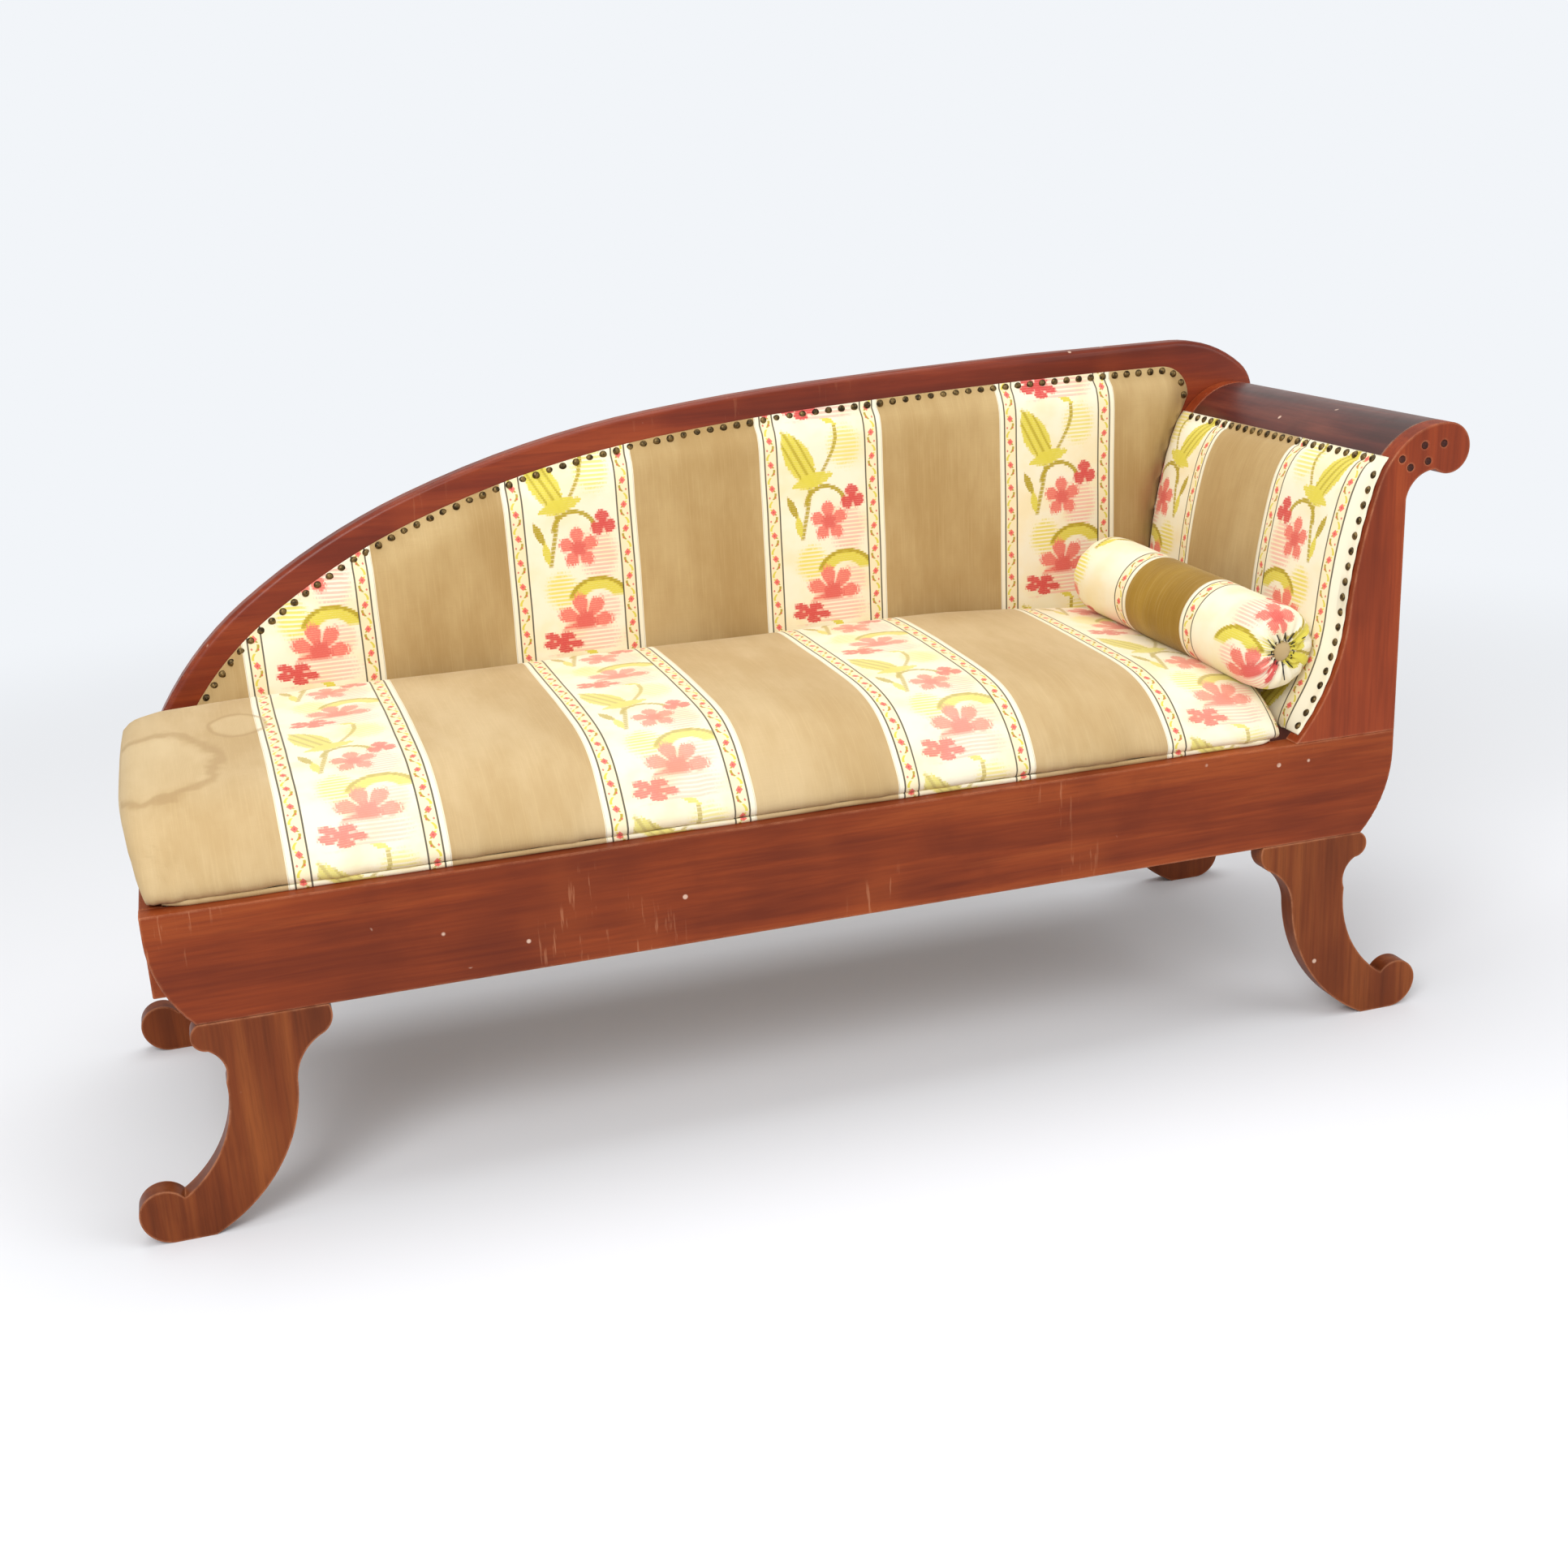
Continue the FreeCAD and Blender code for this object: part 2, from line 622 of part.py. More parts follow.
def make_back():
    body, pad = board("crest_rail", crest_outline(), "Sizes.depth - Sizes.board")
    upper = [Vector(x, 0, z) for x, z in (point_on(a, 0.5) for a in crest_line(0, rail_top) + crest_lobe())]

    def on_top(edge):
        middle = edge.valueAt((edge.FirstParameter + edge.LastParameter) / 2)
        return any(middle.distanceToPoint(spot) < 0.1 for spot in upper)

    soften(body, pad, "Sizes.crest_round", on_top)
    inner = crest_underside()
    frame_y = "Sizes.depth - Sizes.board + Sizes.back_recess"
    frame_thick = "Sizes.board - 2 * Sizes.back_recess"
    low = "Sizes.leg_height + Sizes.rail_height"
    left = point_on(inner[-1], share_at(inner[-1], rail_top + S.slat_width))[0]
    right = stile_left
    bar("back_stile", "Sizes.stile_width", "Sizes.board", "Sizes.crest_rise - Sizes.stile_drop",
        "Sizes.rail_length / 2 - Sizes.stile_width", "Sizes.depth - Sizes.board", low)
    bar("back_lower_rail", str(right - left), frame_thick, "Sizes.slat_width", str(left), frame_y, low)
    for name, share in (("left", 0.22), ("middle", 0.5), ("right", 0.78)):
        x = left + (right - left) * share
        top = min(height_under(inner, x), height_under(inner, x + S.slat_width))
        bar(f"back_{name}_upright", "Sizes.slat_width", frame_thick,
            f"{top} - ({low} + Sizes.slat_width)", str(x), frame_y, low + " + Sizes.slat_width")
    make_back_webbing(inner, left, right)
    make_back_upholstery()


def make_back_webbing(inner, left, right):
    straps = []
    low = rail_top + 20
    for share in (0.1, 0.36, 0.64, 0.9):
        x = left + (right - left) * share
        top = min(height_under(inner, x), height_under(inner, x + S.web_width)) - S.rest_gap
        corner = Vector(x, rear_face + S.back_recess - S.web_thick, low)
        straps.append(Part.makeBox(S.web_width, S.web_thick, top - low, corner))
    shaped("back_webbing", Part.makeCompound(straps))


# The stuffing stands proud of the crest's face and is drawn down to it round its edge
def make_back_upholstery():
    def pillow(inset, base, rise):
        wires = []
        for tuck, share in ((13, 0.0), (14.5, 0.42), (19, 0.75), (28, 0.93), (42, 1.0)):
            y = base + (rear_face - rise - base) * share
            wires.append(upright_face(back_cloth_outline(tuck + inset), y).OuterWire)
        return Part.makeLoft(wires, True, True)

    filling = pillow(S.cloth, rear_face, S.back_puff - S.cloth)
    flange = upright_slab(back_cloth_outline(0), rear_face - S.cloth, S.cloth)
    cover = flange.fuse(pillow(0, rear_face - S.cloth, S.back_puff)).cut(filling).removeSplitter()
    shaped("back_stuffing", filling)
    shaped("back_cover", cover)
    sheet = [(stile_left - 1, rail_top + 1)] + crest_underside(play=1)
    shaped("outside_back_cloth", upright_slab(sheet, S.depth - S.back_recess, S.cloth))


# Seat: battens and blocks in the frame, and a webbed and stuffed frame that lifts out
seat_left = S.board + S.seat_play - rail_end
seat_front = S.board + S.seat_front_play
seat_low = rail_top - S.seat_drop
seat_length = foot_x - S.seat_short - seat_left
seat_depth = rear_face - S.back_puff - S.seat_back_play - seat_front


def make_seat_supports():
    low = "Sizes.leg_height + Sizes.rail_height - Sizes.seat_drop - Sizes.ledger_height"
    length = "Sizes.rail_length - 2 * Sizes.board - Sizes.arm_foot - Sizes.seat_short"
    left = "Sizes.board - Sizes.rail_length / 2"
    rear_y = "Sizes.depth - Sizes.board - Sizes.rear_ledger_width"
    bar("front_batten", length, "Sizes.ledger_width", "Sizes.ledger_height", left, "Sizes.board", low)
    bar("rear_batten", length, "Sizes.rear_ledger_width", "Sizes.ledger_height", left, rear_y, low)
    blocks = []
    screws = []
    size = S.corner_block
    block_low = rail_top - S.corner_rise
    block_high = rail_top - S.seat_drop - S.ledger_height
    for x, turn in ((S.board - rail_end, 1), (rail_end - S.board, -1)):
        for y, back in ((S.board, 1), (rear_face, -1)):
            corner = Vector(x, y, block_low)
            points = [corner, corner + Vector(turn * size, 0, 0), corner + Vector(0, back * size, 0), corner]
            blocks.append(Part.Face(Part.makePolygon(points)).extrude(Vector(0, 0, block_high - block_low)))
            middle = corner + Vector(turn * size / 2, back * size / 2, (block_high - block_low) / 2)
            outward = Vector(0, -back, 0)
            screws.append(Part.makeCylinder(S.screw / 2, S.screw_length, middle, outward))
    shaped("corner_blocks", Part.makeCompound(blocks))
    shaped("corner_screws", Part.makeCompound(screws))


def make_seat():
    left = "(Sizes.board + Sizes.seat_play - Sizes.rail_length / 2)"
    front = "(Sizes.board + Sizes.seat_front_play)"
    back = "(Sizes.depth - Sizes.board - Sizes.back_puff - Sizes.seat_back_play)"
    low = "Sizes.leg_height + Sizes.rail_height - Sizes.seat_drop"
    length = "(Sizes.rail_length - Sizes.board - Sizes.seat_play - Sizes.arm_foot - Sizes.seat_short)"
    for label, y in (("seat_front_bar", front), ("seat_rear_bar", back + " - Sizes.seat_bar")):
        bar(label, length, "Sizes.seat_bar", "Sizes.seat_thick", left, y, low)
    between = f"{back} - {front} - 2 * Sizes.seat_bar"
    for name, share in (("left", 0), ("middle", 0.5), ("right", 1)):
        x = f"{left} + {share} * ({length} - Sizes.seat_bar)"
        bar(f"seat_{name}_bar", "Sizes.seat_bar", between, "Sizes.seat_thick", x,
            front + " + Sizes.seat_bar", low)
    make_seat_webbing()
    make_seat_deck()


# A block over the seat's whole plan, short of its edges all round
def seat_slab(short, low, high):
    corner = Vector(seat_left + short, seat_front + short, low)
    return Part.makeBox(seat_length - 2 * short, seat_depth - 2 * short, high - low, corner)


# Long straps lie under the cross straps, and both are tacked short of the frame's outer edges
def make_seat_webbing():
    tack_strip = 12
    long_straps = []
    for share in (0.17, 0.39, 0.61, 0.83):
        spot = Vector(seat_left + tack_strip, seat_front + seat_depth * share - S.web_width / 2,
                      seat_low + S.seat_thick)
        long_straps.append(Part.makeBox(seat_length - 2 * tack_strip, S.web_width, S.web_thick, spot))
    shaped("seat_long_webbing", Part.makeCompound(long_straps))
    cross_straps = []
    count = round(seat_length / (2 * S.web_width))
    for n in range(count):
        x = seat_left + seat_length * (n + 0.5) / count - S.web_width / 2
        spot = Vector(x, seat_front + tack_strip, seat_low + S.seat_thick + S.web_thick)
        cross_straps.append(Part.makeBox(S.web_width, seat_depth - 2 * tack_strip, S.web_thick, spot))
    shaped("seat_cross_webbing", Part.makeCompound(cross_straps))


def make_seat_deck():
    def rounded(slab, radius):
        top = slab.BoundBox.ZMax - 1
        return slab.makeFillet(radius, [e for e in slab.Edges if all(v.Z > top for v in e.Vertexes)])

    low = seat_low + S.seat_thick + 2 * S.web_thick
    shaped("seat_hessian", seat_slab(3, low, low + S.cloth))
    low += S.cloth
    filling = rounded(seat_slab(S.cloth, low, rail_top - S.cloth), S.deck_round - S.cloth)
    shaped("deck_stuffing", filling)
    shaped("deck_cover", rounded(seat_slab(0, low, rail_top), S.deck_round).cut(filling))


# Loose cushion: crowned, with full rounded edges, pressed down at its right end by the bolster
cushion_low = rail_top + S.rest_gap
cushion_left = -rail_end - S.cushion_over
cushion_right = foot_x - S.cushion_short


# A section across the cushion, drawn in by tuck at its edges
def cushion_section(x, inset, tuck, top):
    front = S.cushion_front + inset + tuck
    back = rear_face - S.back_puff - S.cushion_back_play - inset - tuck * 0.4
    low = cushion_low - 1 + inset + tuck * 0.35
    high = top - inset - tuck * 0.5
    full = high - low
    upper = full * 0.46
    lower = full * 0.2

    def at(y, z):
        return Vector(x, y, z)

    def corner(y, z, radius, toward_y, toward_z, a, b):
        middle = at(y + toward_y * radius * (1 - quarter), z + toward_z * radius * (1 - quarter))
        return Part.Arc(a, middle, b)

    rear = upper * 0.6
    points = [at(front + lower, low), at(back - lower, low), at(back, low + lower), at(back, high - rear),
              at(back - rear, high), at(front + upper, high), at(front, high - upper), at(front, low + lower)]
    edges = [
        Part.LineSegment(points[0], points[1]),
        corner(back, low, lower, -1, 1, points[1], points[2]),
        Part.LineSegment(points[2], points[3]),
        corner(back, high, rear, -1, -1, points[3], points[4]),
        Part.Arc(points[4], at((front + back) / 2, high + S.cushion_crown), points[5]),
        corner(front, high, upper, 1, -1, points[5], points[6]),
        Part.Arc(points[6], at(front - 3, (points[6].z + points[7].z) / 2), points[7]),
        corner(front, low, lower, 1, 1, points[7], points[0]),
    ]
    return Part.Wire([e.toShape() for e in edges])


# Stations along the cushion: place, tuck of its edges there, and height lost there.
# The front edge is drawn in a little between the corners.
def cushion_form(inset):
    left, right = cushion_left, cushion_right
    top = cushion_low + S.cushion_thick - S.cushion_crown
    stations = [
        (left, 24, 26), (left + 7, 9, 12), (left + 30, 0, 7), (left + 130, 2, 3), (left + 420, 5, 0),
        ((left + right) / 2, 6, 0), (right - 420, 5, 2), (right - 190, 3, 8), (right - 75, 2, 15),
        (right - 22, 5, 31), (right, 22, 54),
    ]
    wires = []
    last = len(stations) - 1
    for n, (x, tuck, lost) in enumerate(stations):
        x += inset if n == 0 else -inset if n == last else 0
        wires.append(cushion_section(x, inset, tuck, top - lost))
    room = Part.makeBox(right - left, S.depth, 2 * S.cushion_thick, Vector(left, 0, cushion_low + inset))
    return Part.makeLoft(wires, True, False).common(room)


# Bolster: a stuffed roll with gathered ends, each drawn in to a covered button. It is turned about Z
# and then laid on the cushion, a little askew.
bolster_length = S.depth - S.bolster_short
bolster_near = Vector(rail_end - S.bolster_inward - S.bolster_radius, S.bolster_front,
                      rail_top + S.cushion_thick - S.bolster_sink + S.bolster_radius)
bolster_run = math.sqrt(bolster_length ** 2 - S.bolster_skew ** 2 - S.bolster_lift ** 2)


def laid(shape):
    way = Vector(-S.bolster_skew, bolster_run, S.bolster_lift)
    shape.Placement = Placement(bolster_near, Rotation(Vector(0, 0, 1), way))
    return shape


def bolster_form(inset):
    radius = S.bolster_radius - inset
    hollow = S.bolster_hollow + inset
    rim = S.bolster_radius - 24
    round_in = 27

    def end(far):
        def at(r, depth):
            return Vector(r, 0, bolster_length - depth if far else depth)
        belly = at(radius - (radius - rim) * (1 - quarter), inset + round_in * (1 - quarter))
        neck = Part.Arc(at(S.button_radius, hollow), at(S.button_radius + 9, inset + 2.2), at(rim, inset))
        shoulder = Part.Arc(at(rim, inset), belly, at(radius, inset + round_in))
        return at(0, hollow), at(S.button_radius, hollow), neck, shoulder, at(radius, inset + round_in)

    near_mid, near_hub, near_neck, near_shoulder, near_side = end(False)
    far_mid, far_hub, far_neck, far_shoulder, far_side = end(True)
    side = Part.LineSegment(near_side, far_side)
    axis = Part.LineSegment(far_mid, near_mid)
    edges = [Part.LineSegment(near_mid, near_hub), near_neck, near_shoulder, side,
             far_shoulder, far_neck, Part.LineSegment(far_hub, far_mid), axis]
    face = Part.Face(Part.Wire([e.toShape() for e in edges]))
    return laid(face.revolve(Vector(0, 0, 0), Vector(0, 0, 1), 360))


def bolster_button(far):
    base = bolster_length - S.bolster_hollow if far else S.bolster_hollow
    out = 1 if far else -1
    ball = Part.makeSphere(20, Vector(0, 0, base - out * 12.5))
    foot = Vector(0, 0, base + out * S.rest_gap)
    disc = Part.makeCylinder(S.button_radius - 0.4, S.button_radius, foot, Vector(0, 0, out))
    return laid(disc.common(ball))


# The hollow that the bolster presses in the cushion
def pressed(deeper=0.0):
    beyond = Vector(0, 0, -40)
    return laid(Part.makeCylinder(S.bolster_radius + S.rest_gap + deeper, bolster_length - beyond.z, beyond))


def make_loose_pieces():
    filling = cushion_form(S.cloth).cut(pressed(S.cloth))
    shaped("cushion_filling", filling)
    shaped("cushion_cover", cushion_form(0).cut(pressed()).cut(filling))
    stuffing = bolster_form(S.cloth)
    shaped("bolster_filling", stuffing)
    shaped("bolster_cover", bolster_form(0).cut(stuffing))
    shaped("bolster_buttons", Part.makeCompound([bolster_button(False), bolster_button(True)]))


# Domed nails. Each stands square to the cloth that it holds.
def nail(spot, outward):
    radius = S.nail_head / 2
    dome = (radius ** 2 + S.nail_rise ** 2) / (2 * S.nail_rise)
    head = Part.makeSphere(dome, Vector(0, 0, S.nail_rise - dome))
    head = head.common(Part.makeCylinder(radius, S.nail_rise, Vector(0, 0, 0)))
    shank = Part.makeCylinder(0.9, S.nail_length, Vector(0, 0, -S.nail_length))
    whole = head.fuse(shank)
    whole.Placement = Placement(spot, Rotation(Vector(0, 0, 1), outward))
    return whole


def make_nails():
    row = []
    for (x, z), _ in spaced(crest_nail_line(), S.nail_pitch):
        row.append(nail(Vector(x, rear_face - S.cloth, z), Vector(0, -1, 0)))
    shaped("crest_nails", Part.makeCompound(row))
    edge = arm_cloth_edge()
    top = edge[2]
    share = 1 - (S.nail_head / 2 + 1) / length_of(top)
    x, z = point_on(top, share, S.cloth)
    outward = square_to(top.heading + 2 * top.turn * share)
    first = arm_front + S.nail_head
    last = arm_rear - S.nail_head / 2 - 1
    count = round((last - first) / S.nail_pitch)
    row = [nail(Vector(x, first + (last - first) * n / count, z), outward) for n in range(count + 1)]
    shaped("arm_top_nails", Part.makeCompound(row))
    edge[0] = cut_before(edge[0], share_at(edge[0], rail_top + S.pad_low + 8))
    edge[2] = cut_after(top, share - S.nail_pitch / length_of(top))
    row = []
    for (x, z), heading in spaced(edge, S.nail_pitch, S.cloth):
        row.append(nail(Vector(x, cloth_front + S.nail_head, z), square_to(heading)))
    shaped("arm_front_nails", Part.makeCompound(row))


def square_to(heading):
    return Vector(-math.sin(heading), 0, math.cos(heading))


# Down the back's cloth, from beside the arm round its corner to the seat
def crest_nail_line():
    line, _, corner = back_cloth_edges(S.nail_head / 2 + 1)
    line[-1] = cut_after(line[-1], share_at(line[-1], rail_top + 70))
    return [corner] + line


def check(piece):
    shape = piece.Shape
    if shape.isNull() or not shape.isValid() or not shape.Solids:
        raise RuntimeError(f"{piece.Label} has no sound solid")


make_rails()
make_legs()
make_arm()
make_arm_fixings()
make_back()
make_seat_supports()
make_seat()
make_loose_pieces()
make_nails()
doc.recompute()
for thing in doc.Objects:
    if "Invalid" in thing.State or "Error" in thing.State:
        raise RuntimeError(f"{thing.Label} failed: {thing.State}")
for piece in parts:
    check(piece)
os.makedirs("parts", exist_ok=True)
for piece in parts:
    piece.Shape.exportStep(f"parts/{piece.Label}.step")
print(len(parts), "sub-parts")
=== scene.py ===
import math

import bmesh
import bpy
from mathutils import Matrix, Vector, noise


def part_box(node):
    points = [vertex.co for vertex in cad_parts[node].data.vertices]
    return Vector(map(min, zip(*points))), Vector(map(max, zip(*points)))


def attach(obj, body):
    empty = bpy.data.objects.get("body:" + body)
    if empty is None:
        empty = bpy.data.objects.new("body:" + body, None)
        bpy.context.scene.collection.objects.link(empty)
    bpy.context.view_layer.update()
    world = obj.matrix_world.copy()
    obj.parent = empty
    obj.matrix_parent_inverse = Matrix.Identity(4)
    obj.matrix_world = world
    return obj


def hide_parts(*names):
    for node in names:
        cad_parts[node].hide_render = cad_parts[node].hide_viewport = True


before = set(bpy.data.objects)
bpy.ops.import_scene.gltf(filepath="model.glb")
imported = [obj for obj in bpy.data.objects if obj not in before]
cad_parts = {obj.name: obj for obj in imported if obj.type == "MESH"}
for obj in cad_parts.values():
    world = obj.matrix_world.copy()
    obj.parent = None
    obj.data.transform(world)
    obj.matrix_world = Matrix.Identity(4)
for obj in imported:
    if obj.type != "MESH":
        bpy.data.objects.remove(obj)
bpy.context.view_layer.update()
print("frame loaded")


# A screen colour, 0 to 255, as the linear one that shaders take
def srgb(red, green, blue):
    linear = [v / 3294.6 if v <= 10 else ((v / 255 + 0.055) / 1.055) ** 2.4 for v in (red, green, blue)]
    return (*linear, 1.0)


# A socket that stands in a Python expression as a number does
class Wire:
    def __init__(self, finish, socket):
        self.finish = finish
        self.socket = socket

    def does(self, operation, *values):
        return self.finish.add("ShaderNodeMath", {"operation": operation}, *values)

    def __add__(self, other):
        return self.does("ADD", self, other)

    def __radd__(self, other):
        return self.does("ADD", other, self)

    def __sub__(self, other):
        return self.does("SUBTRACT", self, other)

    def __rsub__(self, other):
        return self.does("SUBTRACT", other, self)

    def __mul__(self, other):
        return self.does("MULTIPLY", self, other)

    def __rmul__(self, other):
        return self.does("MULTIPLY", other, self)

    def __truediv__(self, other):
        return self.does("DIVIDE", self, other)

    def __mod__(self, other):
        return self.does("FLOORED_MODULO", self, other)

    def __abs__(self):
        return self.does("ABSOLUTE", self)

    def __or__(self, other):
        return self.does("MAXIMUM", self, other)

    def __and__(self, other):
        return self.does("MINIMUM", self, other)


# The nodes of a material or a world
class Finish:
    def __init__(self, owner):
        owner.use_nodes = True
        self.owner = owner
        self.tree = owner.node_tree
        self.tree.nodes.clear()

    # A node of a type, with its settings, and then its sockets by order or by name
    def add(self, kind, settings=None, *values, out=0, **named):
        node = self.tree.nodes.new(kind)
        for key, value in (settings or {}).items():
            if key == "stops":
                self.setStops(node.color_ramp, value)
            else:
                setattr(node, key, value)
        for place, value in [*enumerate(values), *named.items()]:
            if value is None:
                continue
            socket = node.inputs[place if isinstance(place, int) else place.replace("_", " ")]
            if isinstance(value, Wire):
                self.tree.links.new(value.socket, socket)
            else:
                socket.default_value = value
        return Wire(self, node.outputs[out])

    def setStops(self, ramp, stops):
        while len(ramp.elements) < len(stops):
            ramp.elements.new(0.5)
        for element, (place, colour) in zip(ramp.elements, stops):
            element.position = place
            element.color = colour

    def mix(self, factor, under, over):
        settings = {"data_type": "RGBA", "clamp_factor": True}
        return self.add("ShaderNodeMix", settings, factor, None, None, None, None, None, under, over, out=2)

    # 0 below low, 1 above high, and smooth between. Low may be the larger
    def step(self, value, low, high):
        settings = {"interpolation_type": "SMOOTHSTEP"}
        return self.add("ShaderNodeMapRange", settings, value, low, high, 0.0, 1.0)

    def sine(self, value):
        return self.add("ShaderNodeMath", {"operation": "SINE"}, value)

    # A wave that comes round once in a pitch
    def wave(self, value, pitch):
        return self.sine(value * (2 * math.pi / pitch))

    def noise(self, place, scale, detail=2.0, rough=0.5, distortion=0.0):
        return self.add("ShaderNodeTexNoise", None, Vector=place, Scale=scale, Detail=detail,
                        Roughness=rough, Distortion=distortion)

    def stretched(self, place, scale):
        return self.add("ShaderNodeMapping", None, Vector=place, Scale=scale)

    # A place as seen from an ellipse: length 1 lies on its edge
    def within(self, place, centre, size, turn=0.0):
        middle = (*centre, 0)
        radians = (0, 0, math.radians(turn))
        return self.add("ShaderNodeMapping", {"vector_type": "TEXTURE"}, Vector=place, Location=middle,
                        Rotation=radians, Scale=(*size, 1))

    def length(self, place):
        return self.add("ShaderNodeVectorMath", {"operation": "LENGTH"}, place, out=1)

    def split(self, place):
        node = self.add("ShaderNodeSeparateXYZ", None, place).socket.node
        return [Wire(self, socket) for socket in node.outputs]

    def join(self, x, y, z=0.0):
        return self.add("ShaderNodeCombineXYZ", None, x, y, z)

    def spot(self):
        return self.add("ShaderNodeTexCoord", None, out=3)

    def cloth(self):
        return self.add("ShaderNodeUVMap", {"uv_map": "cloth"})

    def bump(self, height, strength, distance):
        return self.add("ShaderNodeBump", None, Strength=strength, Distance=distance, Height=height)

    def close(self, colour, roughness, normal=None, **fixed):
        self.output(self.add("ShaderNodeBsdfPrincipled", None, Base_Color=colour, Roughness=roughness,
                             Normal=normal, **fixed))
        return self.owner

    def output(self, shader, kind="ShaderNodeOutputMaterial"):
        node = self.tree.nodes.new(kind)
        self.tree.links.new(shader.socket, node.inputs[0])


def newFinish(name):
    return Finish(bpy.data.materials.new(name))


mahoganyLook = {
    "dark": srgb(92, 34, 16),
    "middle": srgb(130, 54, 22),
    "light": srgb(156, 74, 32),
    # pale worn wood for the scuffs, and on the arrises also a painted highlight
    "worn": srgb(204, 140, 102),
    "paint": srgb(222, 190, 168),  # flecks of old paint
    "grain": 26.0,
    "stretch": 0.055,  # width of a rounded arris, drawn pale as worn wood and as a painted highlight
    "arris": 0.005,  # width of a worn edge
    # how strongly the arrises are drawn pale: worn wood and painted highlight
    "wear": 0.8,
    "scuffs": 0.3,
    "rough": 0.44,
    "coat": 0.03,
    "coatRough": 0.16,
    "gloss": 0.16,
}
alongX, alongY, alongZ = (1, 0, 0), (0, 1, 0), (0, 0, 1)


def mahogany(name, along, **changes):
    look = {**mahoganyLook, **changes}
    f = newFinish(name)
    spot = f.spot()
    scale = [look["stretch"] if a else 1.0 for a in along]
    wander = f.noise(spot, 3.1, 3.0, 0.6)
    streaks = f.noise(f.stretched(spot, scale), look["grain"], 5.0, 0.62, 0.35)
    fine = f.noise(f.stretched(spot, [s if s < 1 else 1.6 for s in scale]), 150.0, 3.0, 0.7)
    tone = f.step(streaks * 0.72 + wander * 0.38, 0.30, 0.80)
    stops = [(0.0, look["dark"]), (0.5, look["middle"]), (1.0, look["light"])]
    wood = f.add("ShaderNodeValToRGB", {"stops": stops}, tone)
    wood = f.mix(f.step(fine, 0.42, 0.66) * 0.30, wood, look["dark"])
    blotch = f.noise(spot, 7.5, 4.0, 0.65)
    wood = f.mix(f.step(blotch, 0.50, 0.76) * 0.34, wood, look["dark"])
    wood = f.mix(f.step(f.noise(spot, 5.2, 2.0), 0.55, 0.75) * 0.35, wood, look["light"])
    # The rounded arrises drawn pale: partly real worn wood, partly a painted highlight where light catches
    # the edge
    normal = f.add("ShaderNodeNewGeometry", None, out=1)
    rounded = f.add("ShaderNodeBevel", {"samples": 4}, look["arris"])
    turn = f.add("ShaderNodeVectorMath", {"operation": "DOT_PRODUCT"}, normal, rounded, out=1)
    edge = f.step(turn, 0.985, 0.80)
    patchy = f.step(f.noise(spot, 38.0, 4.0, 0.7), 0.36, 0.62)
    worn = edge * (0.35 + patchy * 0.65) * look["wear"]
    wood = f.mix(worn, wood, look["worn"])
    # pale scuffs that run down the face, and the flecks
    scratch = f.step(f.noise(f.stretched(spot, (1.0, 1.0, 0.09)), 190.0, 3.0, 0.6), 0.60, 0.70)
    where = f.step(f.noise(spot, 5.4, 1.0), 0.60, 0.70)
    wood = f.mix(scratch * where * look["scuffs"], wood, look["worn"])
    cell = f.add("ShaderNodeTexVoronoi", None, Vector=spot, Scale=22.0)
    rare = f.step(f.noise(spot, 17.0, 1.0), 0.56, 0.60)
    fleck = f.step(cell, 0.085, 0.05) * rare
    wood = f.mix(fleck * 0.75, wood, look["paint"])
    roughness = look["rough"] + worn * 0.22 + f.noise(spot, 60.0, 3.0) * 0.16 - 0.08
    relief = f.bump(fine * 0.5 + streaks, 0.10, 0.0012)
    return f.close(wood, roughness, relief, Coat_Weight=look["coat"], Coat_Roughness=look["coatRough"],
                   Specular_IOR_Level=look["gloss"])


# Unpolished frame wood, dusty in places
def plainWood(name, dark, light, along):
    f = newFinish(name)
    spot = f.spot()
    stretch = 0.06
    scale = [stretch if a else 1.0 for a in along]
    streaks = f.noise(f.stretched(spot, scale), 42.0, 4.0, 0.6, 0.2)
    colour = f.mix(f.step(streaks, 0.35, 0.68), dark, light)
    dusty = f.step(f.noise(spot, 9.0, 3.0), 0.45, 0.7)
    colour = f.mix(dusty * 0.3, colour, srgb(120, 92, 62))
    return f.close(colour, 0.62 + dusty * 0.16, f.bump(streaks, 0.2, 0.001))


stripedLook = {
    "repeat": 0.377,  # from one cream stripe to the next
    "cream": 0.190,  # width of a cream stripe
    "motif": 0.300,  # from one flower spray to the next
    "below": 0.17,  # share of a spray's height that hangs under its large flower
    "plainLight": srgb(194, 166, 116),
    "plainDark": srgb(172, 140, 88),
    "warp": srgb(226, 200, 150),
    "creamLight": srgb(244, 236, 210),
    "creamWarm": srgb(243, 228, 188),
    "green": srgb(220, 206, 74),
    "olive": srgb(178, 156, 36),
    "yellow": srgb(232, 216, 96),
    "coral": srgb(232, 118, 104),
    "deepCoral": srgb(212, 74, 72),
    "blush": srgb(240, 180, 162),
    "line": srgb(66, 60, 48),
    "spot": srgb(84, 62, 40),
    "sheen": srgb(250, 240, 215),
    "fade": 0.0,
    "stain": 0.0,
}

